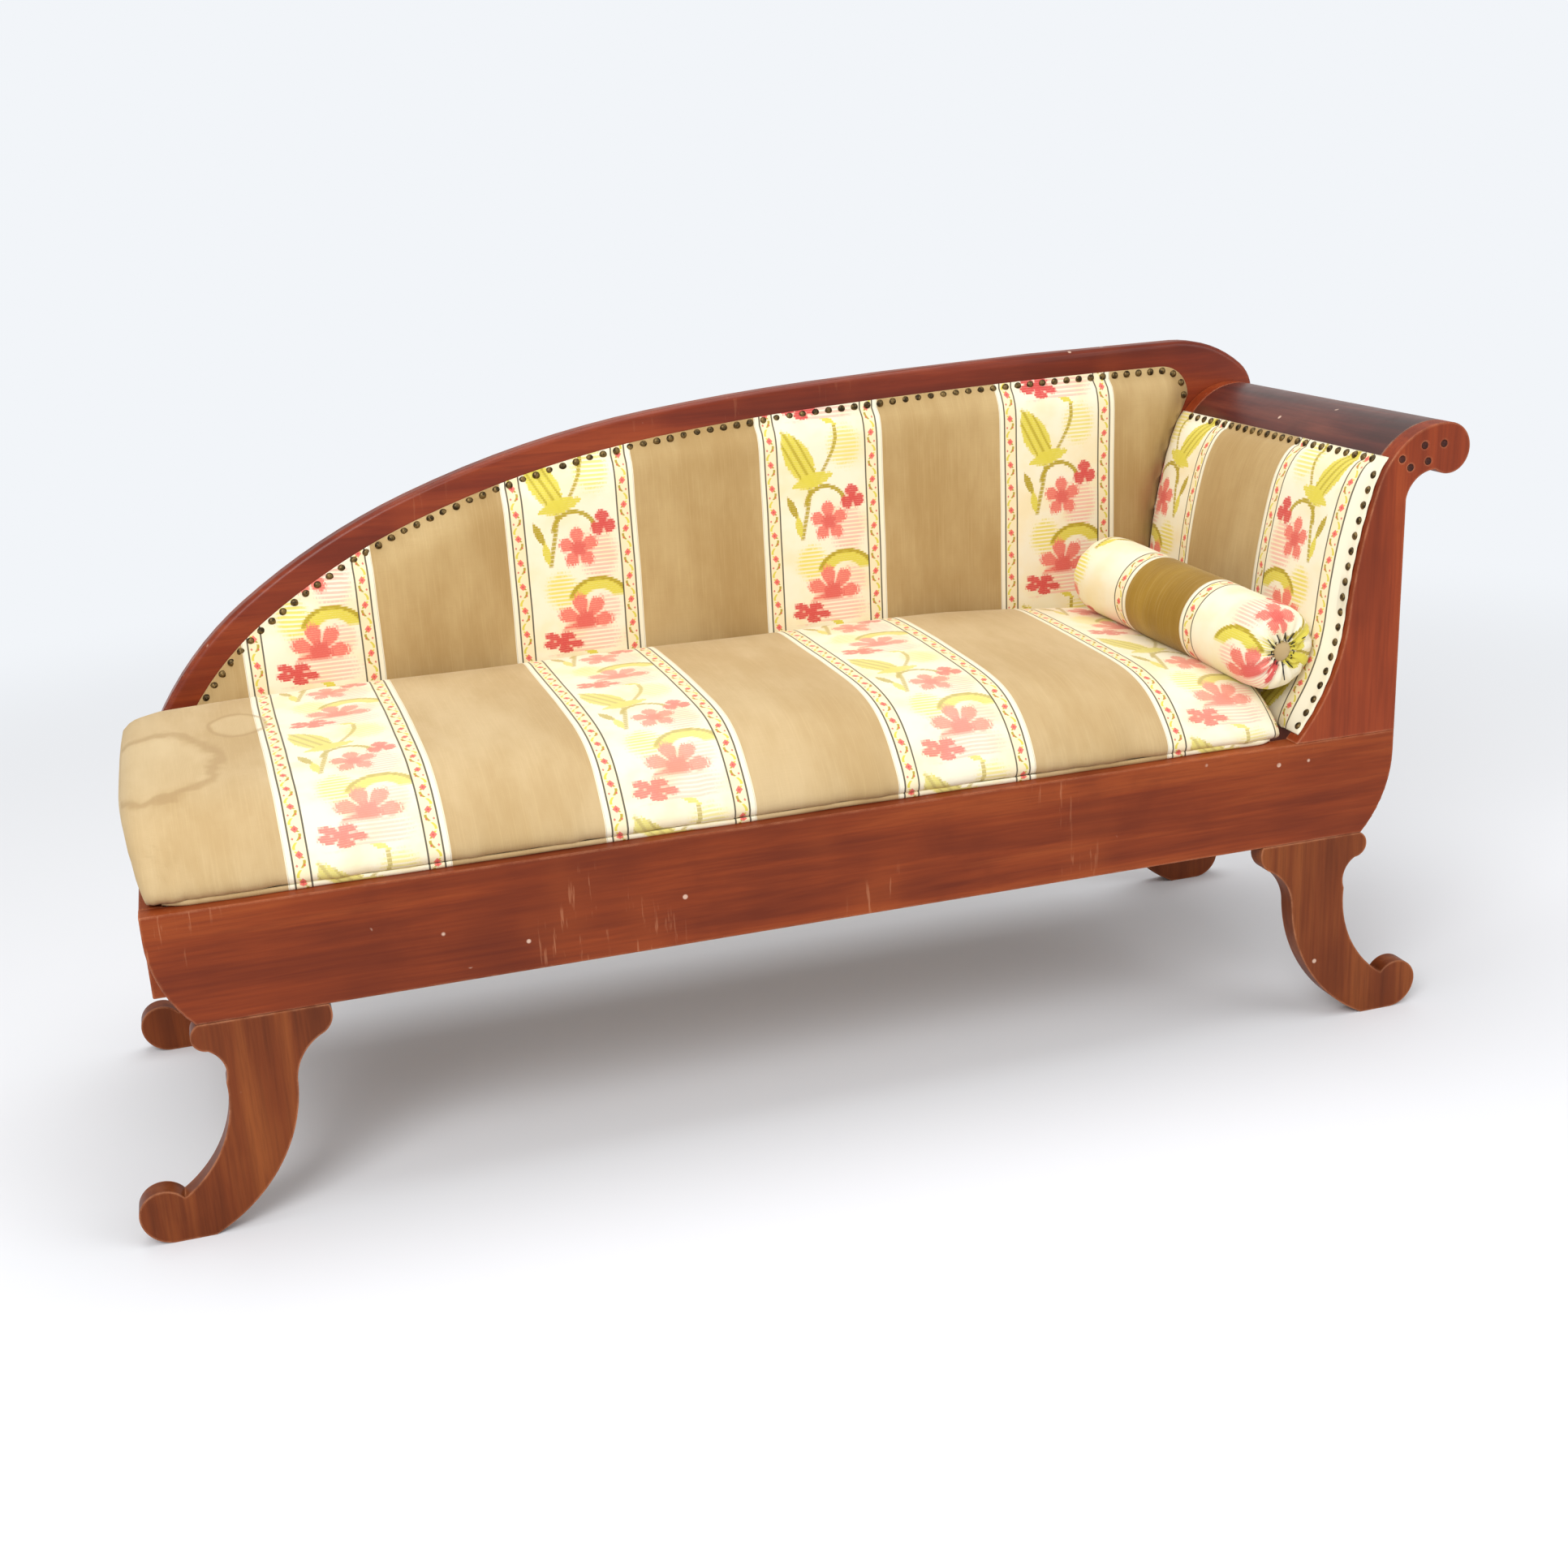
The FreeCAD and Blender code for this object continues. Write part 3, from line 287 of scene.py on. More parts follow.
# The parts of one flower spray. Places are across and up the stripe from the middle of the large flower,
# sizes are half widths, both in metres, and turns are in degrees.
sprayParts = {
    "threads": (0.0018, 0.0031, 1.0),  # the woven steps that every edge follows
    "hatching": 0.0058,  # pitch of the lines of a hatched patch
    "hatched": [
        ((0.014, -0.036), (0.052, 0.026), "blush", 0.75),
        ((0.036, 0.086), (0.030, 0.040), "blush", 0.80),
        ((0.034, 0.208), (0.028, 0.034), "yellow", 0.75),
        ((-0.022, 0.040), (0.026, 0.030), "yellow", 0.90),
        ((0.044, 0.008), (0.020, 0.024), "blush", 0.65),
        ((-0.034, 0.264), (0.028, 0.020), "blush", 0.70),
    ],
    "stems": [
        {"middle": -0.030, "bend": 0.010, "waves": 24.0, "start": 0.100, "ends": (0.072, 0.148),
         "width": 0.0034},
        {"middle": 0.002, "bend": 0.020, "waves": 30.0, "start": 0.176, "ends": (0.150, 0.236),
         "width": 0.0030},
    ],
    "leaves": [
        ((-0.036, 0.192), (0.049, 0.0200), 118, "green", True),
        ((-0.016, 0.160), (0.034, 0.0105), 14, "green", False),
        ((-0.049, 0.122), (0.020, 0.0055), 112, "olive", False),
        ((-0.040, 0.094), (0.018, 0.0055), 96, "green", False),
        ((0.012, 0.246), (0.016, 0.0042), 150, "green", False),
    ],
    # each with its band's soft edges and the height at which its foot fades
    "arches": [
        ((0.030, 0.018), (0.034, 0.027), (0.40, 0.28), (0.022, 0.027), "green"),
        ((0.030, 0.018), (0.042, 0.034), (0.10, 0.05), (0.024, 0.030), "olive"),
        ((0.002, 0.122), (0.030, 0.028), (0.13, 0.08), (0.120, 0.126), "olive"),
    ],
    # each with half its number of petals, and whether it is a fan that stands on its foot
    "blooms": [
        ((0.044, 0.130), (0.019, 0.019), 35, 1.5, "deepCoral", False),
        ((0.006, 0.098), (0.028, 0.029), 200, 2.5, "coral", False),
        ((0.008, -0.010), (0.042, 0.040), 78, 3.5, "coral", True),
        ((-0.028, -0.036), (0.030, 0.016), 168, 2.5, "deepCoral", False),
    ],
}


# Flower sprays on the cream stripe
def flowerSpray(f, place, look, ground):
    rows = f.add("ShaderNodeVectorMath", {"operation": "SNAP"}, place, sprayParts["threads"])
    frayed = f.noise(rows, 420.0, 1.0)
    x, y, _ = f.split(rows)
    upward = f.split(place)[1]

    # lines across the stripe, one to a pitch
    def ruled(pitch, wide, narrow):
        return f.step(abs((upward % pitch) - pitch / 2), wide, narrow)

    hatching = ruled(sprayParts["hatching"], 0.0022, 0.0012)
    worn = f.noise(f.stretched(place, (90, 420, 1)), 3.0, 1.0) * 0.75
    weft = ruled(0.0031, 0.0016, 0.0008) * 0.25
    stitch = 0.42 + worn + weft

    def edge(value, soft=0.09):
        return f.step(value + (frayed - 0.5) * 0.5, 1.0 + soft, 1.0 - soft)

    def hatched(centre, size):
        return f.step(f.length(f.within(place, centre, size)) + (frayed - 0.5) * 0.7, 1.1, 0.6) * hatching

    def leaf(centre, size, turn):
        along, beside, _ = f.split(f.within(rows, centre, size, turn))
        return edge(abs(beside) + along * along), abs(beside)

    def stem(middle, bend, waves, start, ends, width):
        low, high = ends
        sway = f.sine((y - start) * waves)
        near = f.step(abs(x - (middle + sway * bend)), width * 1.25, width * 0.6)
        ticks = ruled(0.0062, 0.0026, 0.0014) * 0.45 + 0.55
        return near * f.step(y, low, low + 0.004) * f.step(y, high + 0.004, high) * ticks

    # a flower's shape, and the gaps between its petals
    def bloom(centre, size, turn, petals):
        inner = f.within(rows, centre, size, turn)
        px, py, _ = f.split(inner)
        angle = f.add("ShaderNodeMath", {"operation": "ARCTAN2"}, py, px)
        fan = abs(f.sine(angle * petals))
        reach = f.length(inner)
        return edge(reach / (0.66 + fan * 0.36)), f.step(fan, 0.40, 0.10) * f.step(reach, 0.25, 0.4)

    colour = ground
    for centre, size, tint, amount in sprayParts["hatched"]:
        colour = f.mix(hatched(centre, size) * amount, colour, look[tint])
    for part in sprayParts["stems"]:
        colour = f.mix(stem(**part) * stitch, colour, look["olive"])
    for centre, size, turn, tint, veined in sprayParts["leaves"]:
        shape, beside = leaf(centre, size, turn)
        colour = f.mix(shape * stitch, colour, look[tint])
        if veined:
            vein = f.step(beside, 0.16, 0.06) | f.step(abs(beside - 0.55), 0.12, 0.04)
            colour = f.mix(shape * vein * 0.75, colour, look["olive"])
    for centre, size, band, foot, tint in sprayParts["arches"]:
        arch = f.step(abs(f.length(f.within(rows, centre, size)) - 1.0), *band) * f.step(y, *foot)
        colour = f.mix(arch * stitch, colour, look[tint])
    for centre, size, turn, petals, tint, stands in sprayParts["blooms"]:
        shape, gaps = bloom(centre, size, turn, petals)
        if stands:
            shape = shape * f.step(y, centre[1] - 0.012, centre[1] - 0.006)
        colour = f.mix(shape * (1 - gaps * 0.75) * stitch, colour, look[tint])
        half = (size[0] * 0.5, size[1] * 0.5)
        inner = f.step(f.length(f.within(rows, centre, half, turn)) + frayed, 1.5, 1.0)
        colour = f.mix(inner * shape * 0.6, colour, look["deepCoral"])
    return colour


# Places are in from the edge of the cream stripe, in metres
border = {
    "band": (0.0275, 0.0268),
    "middle": 0.0172,
    "pitch": 0.0345,  # from one bud of the vine to the next
    "dash": 0.0115,
    "sway": 0.0048,
    "whiteEdge": (0.0082, 0.0076),
    # each line's place, width and strength
    "lines": [(0.0083, 0.0015, 0.95), (0.0272, 0.0015, 0.95), (0.0012, 0.0006, 0.35)],
}


# The narrow border of a cream stripe: a running vine between dark lines, and a white edge
def vineBorder(f, colour, inward, along, look):
    pitch = border["pitch"]
    colour = f.mix(f.step(inward, *border["band"]), colour, look["creamWarm"])
    sway = f.wave(along, pitch)
    across = inward - border["middle"]
    vine = f.step(abs(across - sway * border["sway"]), 0.0021, 0.0012)
    dashes = f.step(abs((along % border["dash"]) - 0.0057), 0.0052, 0.0042)
    tint = f.mix(f.step((along % pitch), 0.016, 0.018), look["olive"], look["green"])
    colour = f.mix(vine * dashes * 0.95, colour, tint)
    bud = abs((along % pitch) - 0.0172) + abs(across) * 1.15
    colour = f.mix(f.step(bud, 0.0062, 0.0048), colour, look["coral"])
    colour = f.mix(f.step(bud, 0.0022, 0.0012), colour, look["deepCoral"])
    sprig = abs((along % pitch) - 0.0040) + abs(abs(across) - 0.0045) * 1.2
    colour = f.mix(f.step(sprig, 0.0024, 0.0016) * 0.8, colour, look["deepCoral"])
    colour = f.mix(f.step(inward, *border["whiteEdge"]), colour, look["creamLight"])
    for place, width, amount in border["lines"]:
        colour = f.mix(f.step(abs(inward - place), width, width * 0.45) * amount, colour, look["line"])
    return colour


def stripedCloth(name, **changes):
    look = {**stripedLook, **changes}
    f = newFinish(name)
    uv = f.cloth()
    across, along, _ = f.split(uv)
    waver = (f.noise(uv, 5.0, 2.0) - 0.5) * 0.004
    phase = (across + waver) % look["repeat"]
    side = phase - look["cream"] / 2
    inward = look["cream"] / 2 - abs(side)
    blotch = f.noise(f.stretched(uv, (1.0, 0.35, 1.0)), 7.0, 5.0, 0.62)
    plain = f.mix(f.step(blotch, 0.36, 0.68), look["plainDark"], look["plainLight"])
    slub = f.noise(f.stretched(uv, (26, 900, 1)), 1.0, 3.0, 0.6)
    plain = f.mix(f.step(slub, 0.45, 0.75) * 0.15, plain, look["plainDark"])
    warp = f.noise(f.stretched(uv, (500, 9, 1)), 1.0, 2.0)
    plain = f.mix(f.step(warp, 0.48, 0.72) * 0.10, plain, look["warp"])
    cream = f.mix(f.step(f.noise(uv, 16.0, 3.0), 0.4, 0.7), look["creamLight"], look["creamWarm"])
    hang = look["motif"] * look["below"]
    up = ((along + hang) % look["motif"]) - hang
    spray = flowerSpray(f, f.join(side, up), look, cream)
    if look["fade"]:
        spray = f.mix(look["fade"], spray, cream)
    striped = vineBorder(f, spray, inward, along, look)
    colour = f.mix(f.step(inward, -0.0005, 0.0005), plain, striped)
    if look["stain"]:
        colour = stained(f, colour, uv, look)
    spots = f.add("ShaderNodeTexVoronoi", None, Vector=uv, Scale=5.5)
    colour = f.mix(f.step(spots, 0.016, 0.010) * 0.8, colour, look["spot"])
    ribs = f.wave(along, 0.0011)
    threads = f.wave(across, 0.0014)
    colour = f.mix((ribs * 0.5 + 0.5) * 0.06, colour, look["plainDark"])
    rough = 0.60 + slub * 0.2
    relief = f.bump(ribs * 0.5 + threads * 0.3 + slub, 0.22, 0.0004)
    return f.close(colour, rough, relief, Sheen_Weight=0.25, Sheen_Roughness=0.4, Sheen_Tint=look["sheen"],
                   Specular_IOR_Level=0.35)


# Old water marks near the left end of the cushion: middle and half size on the cloth, in metres
waterMarks = {
    "places": [((-0.520, 0.20), (0.085, 0.13)), ((-0.400, 0.31), (0.035, 0.05))],
    "turn": 12,
    "pale": srgb(224, 202, 158),
    "rim": srgb(166, 134, 88),
}


def stained(f, colour, uv, look):
    ragged = (f.noise(uv, 22.0, 3.0) - 0.5) * 0.5
    for centre, size in waterMarks["places"]:
        reach = f.length(f.within(uv, centre, size, waterMarks["turn"])) + ragged
        colour = f.mix(f.step(reach, 1.05, 0.7) * 0.25, colour, waterMarks["pale"])
        rim = f.step(abs(reach - 1.0), 0.14, 0.02)
        colour = f.mix(rim * look["stain"], colour, waterMarks["rim"])
    return colour


def plainCloth(name, light, dark):
    f = newFinish(name)
    spot = f.spot()
    x, y, z = f.split(spot)
    pitch = 0.0012
    weave = f.wave(x + y, pitch) * f.wave(z, pitch)
    blotch = f.noise(spot, 9.0, 4.0, 0.6)
    colour = f.mix(f.step(blotch, 0.15, 0.85), dark, light)
    colour = f.mix((weave * 0.5 + 0.5) * 0.18, colour, dark)
    return f.close(colour, 0.78 + blotch * 0.1, f.bump(weave, 0.25, 0.0005), Sheen_Weight=0.15)


# Jute straps. Their UV map runs across and along each strap.
def strapWeb(name):
    f = newFinish(name)
    uv = f.cloth()
    across, along, _ = f.split(uv)
    herring = (along + abs((across % 0.0125) - 0.00625)) % 0.0036
    rib = f.step(abs(herring - 0.0018), 0.0015, 0.0004)
    colour = f.mix(rib, srgb(126, 98, 62), srgb(178, 148, 104))
    line = f.step(abs(abs(across) - 0.019), 0.0022, 0.0014)
    colour = f.mix(line * 0.75, colour, srgb(120, 52, 40))
    colour = f.mix(f.step(f.noise(uv, 18.0, 3.0), 0.5, 0.75) * 0.35, colour, srgb(96, 74, 46))
    return f.close(colour, 0.86, f.bump(rib, 0.5, 0.0007))


def sacking(name):
    f = newFinish(name)
    x, y, _ = f.split(f.spot())
    pitch = 0.0026
    weave = abs(f.wave(x, pitch)) & abs(f.wave(y, pitch))
    colour = f.mix(f.step(weave, 0.05, 0.55), srgb(92, 70, 42), srgb(172, 140, 94))
    return f.close(colour, 0.9, f.bump(weave, 0.6, 0.0008))


def agedBrass():
    f = newFinish("agedBrass")
    spot = f.spot()
    tarnish = f.noise(spot, 130.0, 3.0, 0.6)
    colour = f.mix(f.step(tarnish, 0.38, 0.62), srgb(54, 44, 30), srgb(122, 100, 62))
    return f.close(colour, 0.30 + tarnish * 0.25, f.bump(tarnish, 0.15, 0.0006), Metallic=0.9)


def steel():
    f = newFinish("screwSteel")
    dull = f.noise(f.spot(), 240.0, 2.0)
    return f.close(f.mix(dull, srgb(120, 118, 112), srgb(165, 163, 158)), 0.32 + dull * 0.2, Metallic=1.0)


def thread():
    f = newFinish("blackThread")
    twist = f.noise(f.spot(), 900.0, 2.0)
    return f.close(f.mix(twist, srgb(14, 12, 12), srgb(48, 42, 40)), 0.55 + twist * 0.2)


railWood = mahogany("railMahogany", alongX)
endRailWood = mahogany("endRailMahogany", alongY)
crestWood = mahogany("crestMahogany", alongX, dark=srgb(88, 30, 16), middle=srgb(122, 46, 24),
                     light=srgb(150, 66, 32), scuffs=0.1, rough=0.34, coat=0.06, gloss=0.25, wear=0.6)
armWood = mahogany("armMahogany", alongZ, dark=srgb(104, 38, 16), middle=srgb(142, 58, 26),
                   light=srgb(160, 72, 32), scuffs=0.25, gloss=0.2)
legWood = mahogany("legMahogany", alongZ, dark=srgb(80, 34, 12), middle=srgb(116, 54, 22),
                   light=srgb(142, 76, 34), scuffs=0.2)
# The roll's darker, purple-brown tone is painted reflection of the sky on its top; its coat and gloss give
# the real reflection
rollWood = mahogany("rollMahogany", alongY, dark=srgb(48, 18, 14), middle=srgb(84, 34, 26),
                    light=srgb(116, 58, 42), scuffs=0.1, rough=0.32, coat=0.2, gloss=0.5)
panelWood = mahogany("panelMahogany", alongZ, scuffs=0.1, rough=0.42, wear=0.4)
plugWood = mahogany("plugMahogany", alongX, dark=srgb(38, 14, 10), middle=srgb(60, 22, 14),
                    light=srgb(84, 34, 22), wear=0.1, scuffs=0.0)
beechX = plainWood("frameBeechLong", srgb(150, 112, 70), srgb(196, 158, 110), alongX)
beechY = plainWood("frameBeechCross", srgb(146, 108, 66), srgb(192, 154, 106), alongY)
beechZ = plainWood("frameBeechUpright", srgb(150, 112, 70), srgb(196, 158, 110), alongZ)
stripedPad = stripedCloth("stripedBackCloth")
stripedSeat = stripedCloth("stripedSeatCloth", fade=0.22, stain=0.6, plainLight=srgb(200, 174, 130),
                           plainDark=srgb(182, 152, 104))
stripedRoll = stripedCloth("stripedBolsterCloth", repeat=0.440, cream=0.310, plainLight=srgb(172, 136, 48),
                           plainDark=srgb(142, 106, 28))
tanCloth = plainCloth("tanCloth", srgb(192, 162, 112), srgb(178, 146, 96))
buttonCloth = plainCloth("buttonCloth", srgb(206, 180, 132), srgb(172, 142, 94))
strapping = strapWeb("juteStrap")
hessian = sacking("hessianSacking")
brass = agedBrass()
screwSteel = steel()
blackThread = thread()
print("finishes made")


# A new piece on its body, with its material slot and the CAD nodes that it stands for
def finished(name, bm, material, body="root", replaces=()):
    mesh = bpy.data.meshes.new(name)
    bm.to_mesh(mesh)
    bm.free()
    mesh.materials.append(material)
    mesh.shade_smooth()
    piece = bpy.data.objects.new(name, mesh)
    bpy.context.scene.collection.objects.link(piece)
    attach(piece, body)
    if replaces:
        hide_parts(*replaces)
    return piece


# A CAD node's mesh, with its loose triangles joined
def mergedCopy(node):
    bm = bmesh.new()
    bm.from_mesh(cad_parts[node].data)
    bmesh.ops.remove_doubles(bm, verts=bm.verts, dist=1e-5)
    return bm


# A CAD board with its arrises rounded over
def softened(name, node, material, width=0.0018, turn=38):
    bm = mergedCopy(node)
    bmesh.ops.dissolve_limit(bm, angle_limit=math.radians(0.6), verts=bm.verts, edges=bm.edges)
    piece = finished(name, bm, material, replaces=(node,))
    bevel = piece.modifiers.new("arrises", "BEVEL")
    bevel.width = width
    bevel.segments = 3
    bevel.limit_method = "ANGLE"
    bevel.angle_limit = math.radians(turn)
    bevel.use_clamp_overlap = True
    weighted = piece.modifiers.new("shading", "WEIGHTED_NORMAL")
    weighted.keep_sharp = True
    return piece


# A small turned or domed CAD node, shaded smoothly between its sharp edges
def smoothed(name, node, material):
    piece = finished(name, mergedCopy(node), material, replaces=(node,))
    piece.data.set_sharp_from_angle(angle=math.radians(40))
    return piece


# The cloth's own UV map, from a place on the piece
def mapped(bm, place):
    layer = bm.loops.layers.uv.new("cloth")
    for face in bm.faces:
        for loop in face.loops:
            loop[layer].uv = place(loop.vert.co)


def clamped(value):
    return min(1.0, max(0.0, value))


# A value between -1 and 1 that changes gently over space
def gentle(*spot):
    return noise.noise(Vector(spot))


def straight(share):
    return share


def smoothly(share):
    return share * share * (3 - 2 * share)


# The height at a value of a line through points, held past its ends
def between(value, points, ease=straight):
    if value <= points[0][0]:
        return points[0][1]
    for (x0, y0), (x1, y1) in zip(points, points[1:]):
        if value <= x1:
            return y0 + (y1 - y0) * ease((value - x0) / (x1 - x0))
    return points[-1][1]


# Show wood
softened("frontRail", "front_rail", railWood)
softened("rearRail", "rear_rail", railWood)
softened("leftEndRail", "left_end_rail", endRailWood)
softened("rightEndRail", "right_end_rail", endRailWood)
softened("backStile", "back_stile", panelWood, 0.001)
for corner in ("front_left", "front_right", "rear_left", "rear_right"):
    first, second = corner.split("_")
    softened(f"{first}{second.title()}Leg", f"{corner}_leg", legWood, 0.0022)
softened("armFrontBoard", "arm_front_board", armWood, 0.0022)
softened("armRearBoard", "arm_rear_board", armWood, 0.0022)
softened("armRoll", "arm_roll", rollWood, 0.0006)
softened("armOuterPanel", "arm_outer_panel", panelWood, 0.001)
softened("crestRail", "crest_rail", crestWood, 0.0018)
smoothed("armPlugs", "arm_plugs", plugWood)
print("show wood softened")

# Hidden wood and steel keep their CAD meshes
hidden = {
    beechX: ("front_batten", "rear_batten", "back_lower_rail", "seat_front_bar", "seat_rear_bar",
             "corner_blocks"),
    beechY: ("cross_rail", "seat_left_bar", "seat_middle_bar", "seat_right_bar", "arm_lower_slat",
             "arm_middle_slat", "arm_upper_slat"),
    beechZ: ("back_left_upright", "back_middle_upright", "back_right_upright", "leg_dowels"),
    screwSteel: ("arm_screws", "corner_screws"),
}
for material, nodes in hidden.items():
    for node in nodes:
        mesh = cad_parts[node].data
        mesh.materials.clear()
        mesh.materials.append(material)
for name, node in (("crestNails", "crest_nails"), ("armTopNails", "arm_top_nails"),
                   ("armFrontNails", "arm_front_nails")):
    smoothed(name, node, brass)
print("frame and nails finished")


# Straps of webbing, each with the axes of its width and its length
straps = {
    "seatLongStraps": {"node": "seat_long_webbing", "body": "drop_in_seat", "axes": (1, 0),
                       "rests": "seat_front_bar"},
    "seatCrossStraps": {"node": "seat_cross_webbing", "body": "drop_in_seat", "axes": (0, 1),
                        "rests": "seat_front_bar"},
    "backStraps": {"node": "back_webbing", "body": "root", "axes": (0, 2), "rests": "back_lower_rail"},
    "armStraps": {"node": "arm_webbing", "body": "root", "axes": (1, 2), "rests": "back_lower_rail",
                  "curve": 1.01},  # how much longer its bent straps are than a straight line
}


# The faces of a mesh, one set for each loose part
def looseParts(bm):
    unseen = set(bm.faces)
    while unseen:
        part = set()
        waiting = [unseen.pop()]
        while waiting:
            face = waiting.pop()
            part.add(face)
            near = {g for e in face.edges for g in e.link_faces} & unseen
            unseen -= near
            waiting.extend(near)
        yield part


def makeStraps(name):
    strap = straps[name]
    bm = mergedCopy(strap["node"])
    layer = bm.loops.layers.uv.new("cloth")
    across, along = strap["axes"]
    width, length = 0.0, 0.0
    for part in looseParts(bm):
        corners = [v.co for face in part for v in face.verts]
        low = Vector([min(c[i] for c in corners) for i in range(3)])
        high = Vector([max(c[i] for c in corners) for i in range(3)])
        middle = (low + high) / 2
        for face in part:
            for loop in face.loops:
                spot = loop.vert.co - middle
                loop[layer].uv = (spot[across], spot[along])
        width += high[across] - low[across]
        reach = high[along] - low[along]
        if "curve" in strap:
            reach = math.hypot(reach, high[0] - low[0]) * strap["curve"]
        length = max(length, reach)
    piece = finished(name, bm, strapping, strap["body"], (strap["node"],))
    area = sum(p.area for p in piece.data.polygons) / 2
    min(area, width * length)


for name in straps:
    makeStraps(name)


def makeSheet(name, node, material, body):
    piece = finished(name, mergedCopy(node), material, body, (node,))


makeSheet("seatSacking", "seat_hessian", hessian, "drop_in_seat")
makeSheet("outsideBack", "outside_back_cloth", tanCloth, "root")
print("straps and sheets laid")

cushion = {
    "left": -0.847,
    "right": 0.631,
    "low": 0.4146,
    "tall": 0.126,
    "middle": (-0.02, 0.474),  # the middle of each end, across and up
    "bulge": 0.006,
    "lean": 0.020,  # how far the left end's foot is drawn in
    "cells": {"along": 158, "over": 94, "under": 30, "rings": 6},
    "crowding": 0.135,  # how much closer the rows stand near the ends
    # the middle section's outline from the lower front seam over the top to the lower rear seam
    "section": [(-0.2640, 0.4165), (-0.2735, 0.4205), (-0.2785, 0.4290), (-0.2760, 0.4420), (-0.2650, 0.4600),
                (-0.2455, 0.4825), (-0.2205, 0.5020), (-0.1900, 0.5155), (-0.1500, 0.5240), (-0.0900, 0.5285),
                (0.0100, 0.5310), (0.1100, 0.5325), (0.1800, 0.5320), (0.2180, 0.5250), (0.2350, 0.5080),
                (0.2392, 0.4840), (0.2385, 0.4500), (0.2330, 0.4230), (0.2200, 0.4146)],
    # height that the top loses along the cushion
    "sag": [(-0.847, 0.026), (-0.835, 0.016), (-0.80, 0.009), (-0.70, 0.006), (-0.45, 0.002), (-0.2, 0.0),
            (0.15, 0.001), (0.34, 0.006), (0.45, 0.014), (0.56, 0.024), (0.62, 0.034), (0.631, 0.042)],
    # how far its sides draw in towards its ends
    "tuck": [(-0.847, 0.030), (-0.838, 0.014), (-0.82, 0.004), (-0.78, 0.0), (0.57, 0.0), (0.61, 0.005),
             (0.625, 0.013), (0.631, 0.022)],
    "stripes": 0.302,
    "endStripe": -0.191,  # keeps the ends in the plain stripe
    "slant": 0.009,
    "flower": 0.100,
}


# A smooth curve through points, with some parts between each two
def smoothLine(points, parts):
    line = []
    last = len(points) - 1
    for n in range(last):
        a, b, c, d = (Vector((*points[min(max(i, 0), last)], 0)) for i in (n - 1, n, n + 1, n + 2))
        for step in range(parts):
            t = step / parts
            line.append(0.5 * ((2 * b) + (c - a) * t + (2 * a - 5 * b + 4 * c - d) * t ** 2
                               + (3 * b - a - 3 * c + d) * t ** 3))
    line.append(Vector((*points[last], 0)))
    return line


# The distance along a line to each of its points
def lengths(line):
    total = [0.0]
    for a, b in zip(line, line[1:]):
        total.append(total[-1] + (b - a).length)
    return total


# A tube of quads between two ends of rings that shrink to a point
def ringedTube(bm, around, along, rings):
    bmesh.ops.create_cone(bm, cap_ends=True, segments=around, radius1=1, radius2=1, depth=2)
    caps = [f for f in bm.faces if len(f.verts) > 4]
    rungs = [e for e in bm.edges if abs(e.verts[0].co.z - e.verts[1].co.z) > 1]
    for cap in caps:
        middle = Vector((0, 0, cap.verts[0].co.z))
        for ring in range(rings, 0, -1):
            bmesh.ops.inset_individual(bm, faces=[cap], thickness=0, depth=0)
            if ring == 1:
                bmesh.ops.pointmerge(bm, verts=list(cap.verts), merge_co=middle)
                break
            for v in cap.verts:
                v.co = middle + Vector((v.co.x, v.co.y, 0)) * ((ring - 1) / ring)
    bmesh.ops.subdivide_edges(bm, edges=rungs, cuts=along - 1, use_grid_fill=False)


# Rows stand closer near the ends
def crowded(share):
    return share - cushion["crowding"] * math.sin(2 * math.pi * share) / (2 * math.pi)


